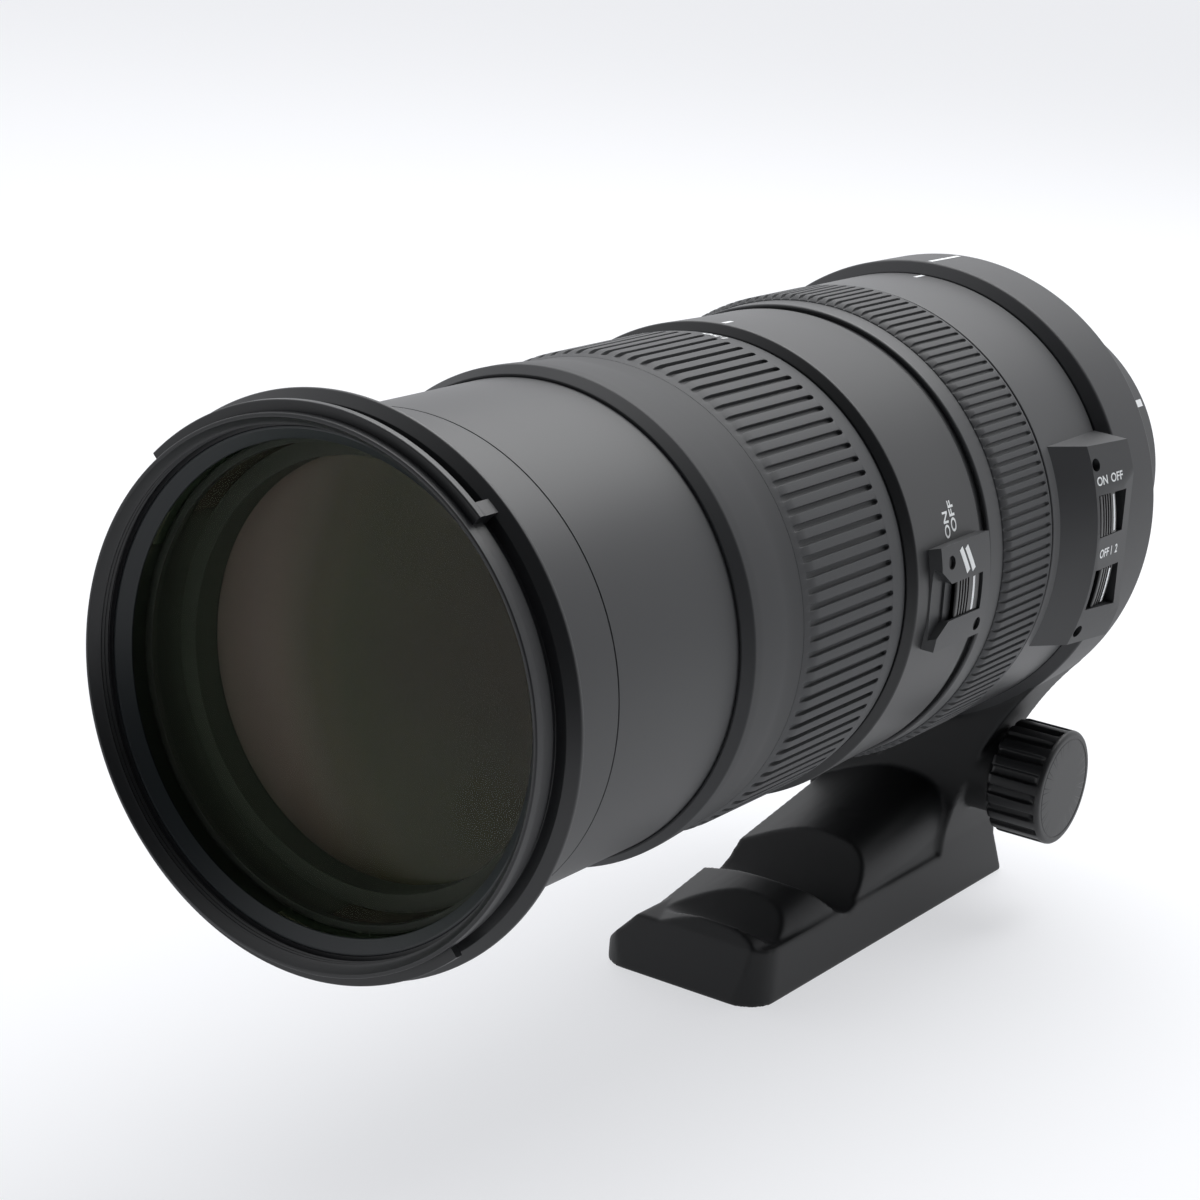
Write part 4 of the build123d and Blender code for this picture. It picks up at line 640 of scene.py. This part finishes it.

# Vapour-coated glass over a dark barrel; its colour is the coating's reflection, painted in.
coating = bpy.data.materials.new("coating with painted mauve and green reflection")
coating.use_nodes = True
tree = coating.node_tree
place = add(tree, "ShaderNodeTexCoord")
split = add(tree, "ShaderNodeSeparateXYZ", None, {"Vector": place.outputs["Object"]})
flat = add(tree, "ShaderNodeCombineXYZ", None, {"X": split.outputs["X"], "Z": split.outputs["Z"]})
radius = add(tree, "ShaderNodeVectorMath", None, {0: flat.outputs[0]}, operation="LENGTH")
# The painted mauve reflection grows with radius and towards the -X side; measures are in millimetres.
painted_mauve_side, painted_mauve_radius_share, dark_end, painted_mauve_end = (-0.8, 0, -0.12), 0.55, -12, 50
side = add(tree, "ShaderNodeVectorMath", {1: painted_mauve_side}, {0: place.outputs["Object"]},
           operation="DOT_PRODUCT")
reach = add(tree, "ShaderNodeMath", {1: painted_mauve_radius_share}, {0: radius.outputs["Value"]},
            operation="MULTIPLY")
reach = add(tree, "ShaderNodeMath", None, {0: reach.outputs[0], 1: side.outputs["Value"]},
            operation="ADD")
share = add(tree, "ShaderNodeMapRange", {"From Min": dark_end * MM, "From Max": painted_mauve_end * MM},
            {"Value": reach.outputs[0]})
bands = add(tree, "ShaderNodeValToRGB", None, {"Fac": share.outputs["Result"]})
ramp = bands.color_ramp
ramp.elements[0].color = colour("#251b17")
ramp.elements[1].color = colour("#978883")
for position, tint in ((0.2, "#2c2a1a"), (0.4, "#33341c"), (0.55, "#46412f"), (0.74, "#75665f")):
    ramp.elements.new(position).color = colour(tint)
shader = tree.nodes["Principled BSDF"]
tree.links.new(bands.outputs["Color"], shader.inputs["Base Color"])
shader.inputs["Roughness"].default_value = 0.25
shader.inputs["Specular IOR Level"].default_value = 0.3
keep(element("third_glass", 38, -230, -226, -1.4, 1.2, coating), "front_barrel", "coated_glass",
     "front_element_3")
# Flocked, blackened metal painted a dim green-grey as light seen through the glass; no highlight.
cell_with_painted_light = finish_of("blackened cell", "#3c4039", 0.6)
cell = settle(turned("front_cell_shell", [
    (40.05, -246, 0.1), (41.15, -246, 0), (41.15, -223.4, 0), (38.05, -223.4, 0), (38.05, -230, 0),
    (35.5, -230, 0.15), (35.5, -235.5, 0.15), (38.65, -235.5, 0), (38.65, -242.6, 0.1),
    (40.05, -242.6, 0),
], cell_with_painted_light))
keep(cell, "front_barrel", "black_anodised", "front_cell")

# ------------------------------------------------------------------------------------------------
# Inside. Turned and anodised tubes, brass cams, resin carriers, steel iris blades, ring motor and
# circuit board. They are seen only through the mount and the glass, so the CAD solids stay.
# ------------------------------------------------------------------------------------------------
# Anodised, moulded, plated and ground surfaces as the names say; each keeps its own sheen.
black_anodised = finish_of("black anodised aluminium", "#1a1b1d", 0.4)
inner_resin = finish_of("glass-filled black resin", "#18191a", 0.55)
cam_brass = finish_of("blackened brass", "#6e5a35", 0.35, Metallic=1)
steel = finish_of("ground bright steel", "#b4b6ba", 0.22, Metallic=1)
iris_steel = finish_of("blackened iris steel", "#232427", 0.35, Metallic=0.5)
inner_glass = clear_glass("coated inner glass", "#9a94a8", 1.3)
board_green = finish_of("solder-masked circuit board", "#16402c", 0.4)
motor_grey = finish_of("sintered motor steel", "#77797c", 0.4, Metallic=0.8)
inner_finishes = {
    "black_anodised": black_anodised, "inner_resin": inner_resin, "cam_brass": cam_brass,
    "bright_steel": steel, "iris_steel": iris_steel, "coated_glass": inner_glass,
    "board_green": board_green, "motor_metal": motor_grey, "satin_black_paint": satin_paint,
    "bezel_black": bezel_black, "collar_paint": collar_paint, "grip_rubber": grip_rubber,
    "panel_plastic": panel_black, "slider_plastic": slider_black, "knob_plastic": knob_black,
    "black_screw": black_screw_steel, "mount_metal": plated_metal, "contact_gold": gilt,
    "retainer_metal": ring_finish,
}
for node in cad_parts.values():
    for holder in node.material_slots:
        slot_name = holder.material.name.split(".")[0]
        if slot_name in inner_finishes:
            holder.material = inner_finishes[slot_name]

# ------------------------------------------------------------------------------------------------
# Lettering. Pad-printed white paint: focal lengths on the zoom ring, ON and OFF beside the lock
# and on the switch panel, plain numbers for its places, index lines for zoom and collar.
# ------------------------------------------------------------------------------------------------
# Pad-printed enamel ink: flat white with a crisp edge.
white_ink = finish_of("pad-printed white ink", "#e9ebec", 0.5)


def wrapped(piece, azimuth, place, surface, body, slot, slope=0):
    """Lays a flat mesh in millimetres on the barrel; its right runs up in azimuth, its top to the
    front. The surface radius grows by the slope for each millimetre towards the rear."""
    cut_step, ink_height = 0.5, 0.03
    work = bmesh.new()
    work.from_mesh(piece.data)
    low = min(v.co.x for v in work.verts)
    high = max(v.co.x for v in work.verts)
    for index in range(1, int((high - low) / cut_step) + 1):
        geometry = work.verts[:] + work.edges[:] + work.faces[:]
        bmesh.ops.bisect_plane(work, geom=geometry, plane_co=(low + cut_step * index, 0, 0),
                               plane_no=(1, 0, 0))
    for vertex in work.verts:
        radius = surface - slope * vertex.co.y + ink_height
        angle = radians(azimuth) + vertex.co.x / surface
        vertex.co = Vector((radius * cos(angle), place - vertex.co.y, radius * sin(angle))) * MM
    work.to_mesh(piece.data)
    work.free()
    keep(piece, body, slot)


def lettering(name, text, height, azimuth, place, surface, body, slot, slope=0, turn=0, squeeze=1):
    """Printed text with capitals of the given height, centred on its place."""
    curve = bpy.data.curves.new(name, "FONT")
    curve.body = text
    curve.align_x = "CENTER"
    curve.offset = 0.022
    source = bpy.data.objects.new(name + "_text", curve)
    bpy.context.collection.objects.link(source)
    mesh = bpy.data.meshes.new_from_object(
        source.evaluated_get(bpy.context.evaluated_depsgraph_get()))
    bpy.data.objects.remove(source)
    base = min(v.co.y for v in mesh.vertices)
    tall = max(v.co.y for v in mesh.vertices) - base
    scale = height / tall
    centred = Matrix.Translation((0, -base - tall / 2, 0))
    sized = Matrix.Diagonal((scale * squeeze, scale, 1, 1))
    mesh.transform(Matrix.Rotation(radians(turn), 4, "Z") @ sized @ centred)
    mesh.materials.clear()
    mesh.materials.append(white_ink)
    piece = bpy.data.objects.new(name, mesh)
    bpy.context.collection.objects.link(piece)
    wrapped(piece, azimuth, place, surface, body, slot, slope)


def stroke(name, start, end, width, surface, body, slot, slope=0):
    """A printed line between two points, each an azimuth in degrees and a place in millimetres."""
    middle = [(a + b) / 2 for a, b in zip(start, end)]
    along = Vector((radians(end[0] - start[0]) * surface, start[1] - end[1]))
    across = Vector((-along.y, along.x)).normalized() * width / 2
    corners = [-along / 2 - across, along / 2 - across, along / 2 + across, -along / 2 + across]
    mesh = bpy.data.meshes.new(name)
    mesh.from_pydata([(x, y, 0) for x, y in corners], [], [(0, 1, 2, 3)])
    mesh.materials.append(white_ink)
    piece = bpy.data.objects.new(name, mesh)
    bpy.context.collection.objects.link(piece)
    wrapped(piece, middle[0], middle[1], surface, body, slot, slope)


for figure, azimuth in (("150", 88), ("200", 111), ("300", 141), ("400", 172), ("500", 199)):
    lettering(f"focal_{figure}", figure, 2.3, azimuth, -139.6, 43.82, "zoom_ring", "grip_rubber", -0.09,
              squeeze=1.15)
barrel_ink = ("barrel", "satin_black_paint")
stroke("zoom_index", (91.5, -133.2), (91.5, -129.8), 0.9, 44.9, *barrel_ink, -0.02)
stroke("collar_index", (91.5, -52.3), (91.5, -39.3), 1.0, 48.3, "collar", "collar_paint", -0.012)
stroke("barrel_index", (90.6, -59.8), (90.6, -56.2), 0.9, 46, *barrel_ink)
stroke("mount_mark", (32, -5.7), (32, -2.3), 1.6, 33, *barrel_ink)
lettering("lock_on", "ON", 2.0, 18.3, -120.9, 44.62, *barrel_ink, squeeze=1.2)
lettering("lock_off", "OFF", 2.0, 19.8, -118.1, 44.54, *barrel_ink, squeeze=1.25)
panel_ink = ("barrel", "panel_plastic")
stroke("lock_line_front", (7, -118.4), (12.7, -121), 1.3, 47, *panel_ink)
stroke("lock_line_rear", (7, -116.2), (12.7, -118.8), 1.3, 47, *panel_ink)
stroke("lock_slider_line", (-2.6, -115.3), (5.2, -115.3), 0.8, 46.6, "zoom_lock", "slider_plastic")
stroke("front_slider_line", (4.9, -62.2), (13.1, -62.2), 0.75, 50.5, "focus_mode", "slider_plastic")
stroke("middle_slider_line", (-12.1, -62.0), (-3.9, -62.0), 0.75, 50.5, "stabiliser_mode",
       "slider_plastic")


def switch_text(name, text, azimuth, place, front=50.46, slope=0.0):
    """Small print on the switch panel, read from front to rear; the face rises by the slope."""
    lettering(name, text, 1.8, azimuth, place, front + slope * (place + 69.5), *panel_ink, slope, -90)


# The upper words stand on the sloping face, the lower ones on the flat bridge between the windows.
switch_text("focus_on", "ON", 16.9, -66.8, 50.3, 0.144)
switch_text("focus_off", "OFF", 16.9, -61.7, 50.3, 0.144)
switch_text("stabiliser_off", "OFF", 0.4, -65.9)
switch_text("stabiliser_one", "1", 0.4, -62.6)
switch_text("stabiliser_two", "2", 0.4, -60.3)

# ------------------------------------------------------------------------------------------------
# Studio. A pale floor that runs far back, a white surround that is dim on the camera's right hand
# and one large soft lamp overhead.
# ------------------------------------------------------------------------------------------------
floor_half_width, floor_front, floor_back, floor_glow = 3, -0.5, 5, 0.6
floor_z = foot_base - 0.02 * MM
floor_mesh = bpy.data.meshes.new("studio_floor")
floor_mesh.from_pydata([
    (-floor_half_width, floor_front, floor_z), (floor_half_width, floor_front, floor_z),
    (floor_half_width, floor_back, floor_z), (-floor_half_width, floor_back, floor_z),
], [], [(0, 1, 2, 3)])
floor = bpy.data.objects.new("studio_floor", floor_mesh)
bpy.context.collection.objects.link(floor)
# Matt white background paper: it keeps the soft shadow and gives no highlight.
floor_paper = finish_of("white floor", "#f7f8fa", 0.9, Specular_IOR_Level=0.1)
tree = floor_paper.node_tree
path = add(tree, "ShaderNodeLightPath")
seen = add(tree, "ShaderNodeMath", None, {0: path.outputs["Is Camera Ray"],
                                          1: path.outputs["Is Glossy Ray"]}, operation="MAXIMUM")
share = add(tree, "ShaderNodeMath", {1: floor_glow}, {0: seen.outputs[0]}, operation="MULTIPLY")
glow = add(tree, "ShaderNodeEmission", {"Color": colour("#fbfcff"), "Strength": 1})
blend = add(tree, "ShaderNodeMixShader", None, {
    0: share.outputs[0], 1: tree.nodes["Principled BSDF"].outputs[0], 2: glow.outputs[0]})
tree.links.new(blend.outputs[0], tree.nodes["Material Output"].inputs["Surface"])
floor_mesh.materials.append(floor_paper)

# The surround: paper on all sides, brightest on the far side of the room, and the darker room
# itself in front of the switch side. The camera sees it at its own plain level.
room_side, camera_level = (0.69, -0.72, 0.1), 0.96
paper_levels = {"From Min": -1, "From Max": 0.1, "To Min": 1.25, "To Max": 0.95}
room_levels = {"From Min": 0.0, "From Max": 0.66, "To Min": 1, "To Max": 0.05}
world = bpy.data.worlds.new("studio")
bpy.context.scene.world = world
world.use_nodes = True
tree = world.node_tree
background = tree.nodes["Background"]
direction = add(tree, "ShaderNodeTexCoord")
toward_room = add(tree, "ShaderNodeVectorMath", {1: room_side},
                  {0: direction.outputs["Generated"]}, operation="DOT_PRODUCT")
paper = add(tree, "ShaderNodeMapRange", paper_levels, {"Value": toward_room.outputs["Value"]})
room = add(tree, "ShaderNodeMapRange", room_levels, {"Value": toward_room.outputs["Value"]},
           interpolation_type="SMOOTHSTEP")
dimmed = add(tree, "ShaderNodeMath", None, {0: paper.outputs["Result"], 1: room.outputs["Result"]},
             operation="MULTIPLY")
path = add(tree, "ShaderNodeLightPath")
level = add(tree, "ShaderNodeMix", None, {0: path.outputs["Is Camera Ray"],
                                          2: dimmed.outputs[0]}, data_type="FLOAT")
level.inputs[3].default_value = camera_level
tree.links.new(level.outputs[0], background.inputs["Strength"])
background.inputs["Color"].default_value = colour("#fbfcff")

lamp_data = bpy.data.lights.new("overhead_softbox", "AREA")
lamp_data.shape = "RECTANGLE"
lamp_data.size = 1.1
lamp_data.size_y = 0.8
lamp_data.energy = 12
lamp = bpy.data.objects.new("overhead_softbox", lamp_data)
bpy.context.collection.objects.link(lamp)
lamp.location = (-0.05, 0.45, 1.0)
lamp.rotation_euler = (Vector((0, -0.1, 0)) - lamp.location).to_track_quat("-Z", "Y").to_euler()

# ------------------------------------------------------------------------------------------------
# Camera. At the photograph's place and angle: 32 degrees to the switch side, 16 degrees above.
# ------------------------------------------------------------------------------------------------
yaw, pitch, roll = radians(32.45), radians(16.22), radians(-4.81)
forward = Vector((-sin(yaw) * cos(pitch), cos(yaw) * cos(pitch), -sin(pitch)))
right = forward.cross(Vector((0, 0, 1))).normalized()
down = forward.cross(right)
right_rolled = right * cos(roll) + down * sin(roll)
down_rolled = down * cos(roll) - right * sin(roll)
camera_data = bpy.data.cameras.new("camera")
camera_data.lens = 88.48
camera_data.sensor_width = 36
camera_data.clip_start = 0.01
camera = bpy.data.objects.new("camera", camera_data)
bpy.context.collection.objects.link(camera)
pose = Matrix((right_rolled, -down_rolled, -forward)).transposed().to_4x4()
pose.translation = (0.2684, -0.5907, 0.1450)
camera.matrix_world = pose
bpy.context.scene.camera = camera
bpy.context.scene.view_settings.view_transform = "Standard"
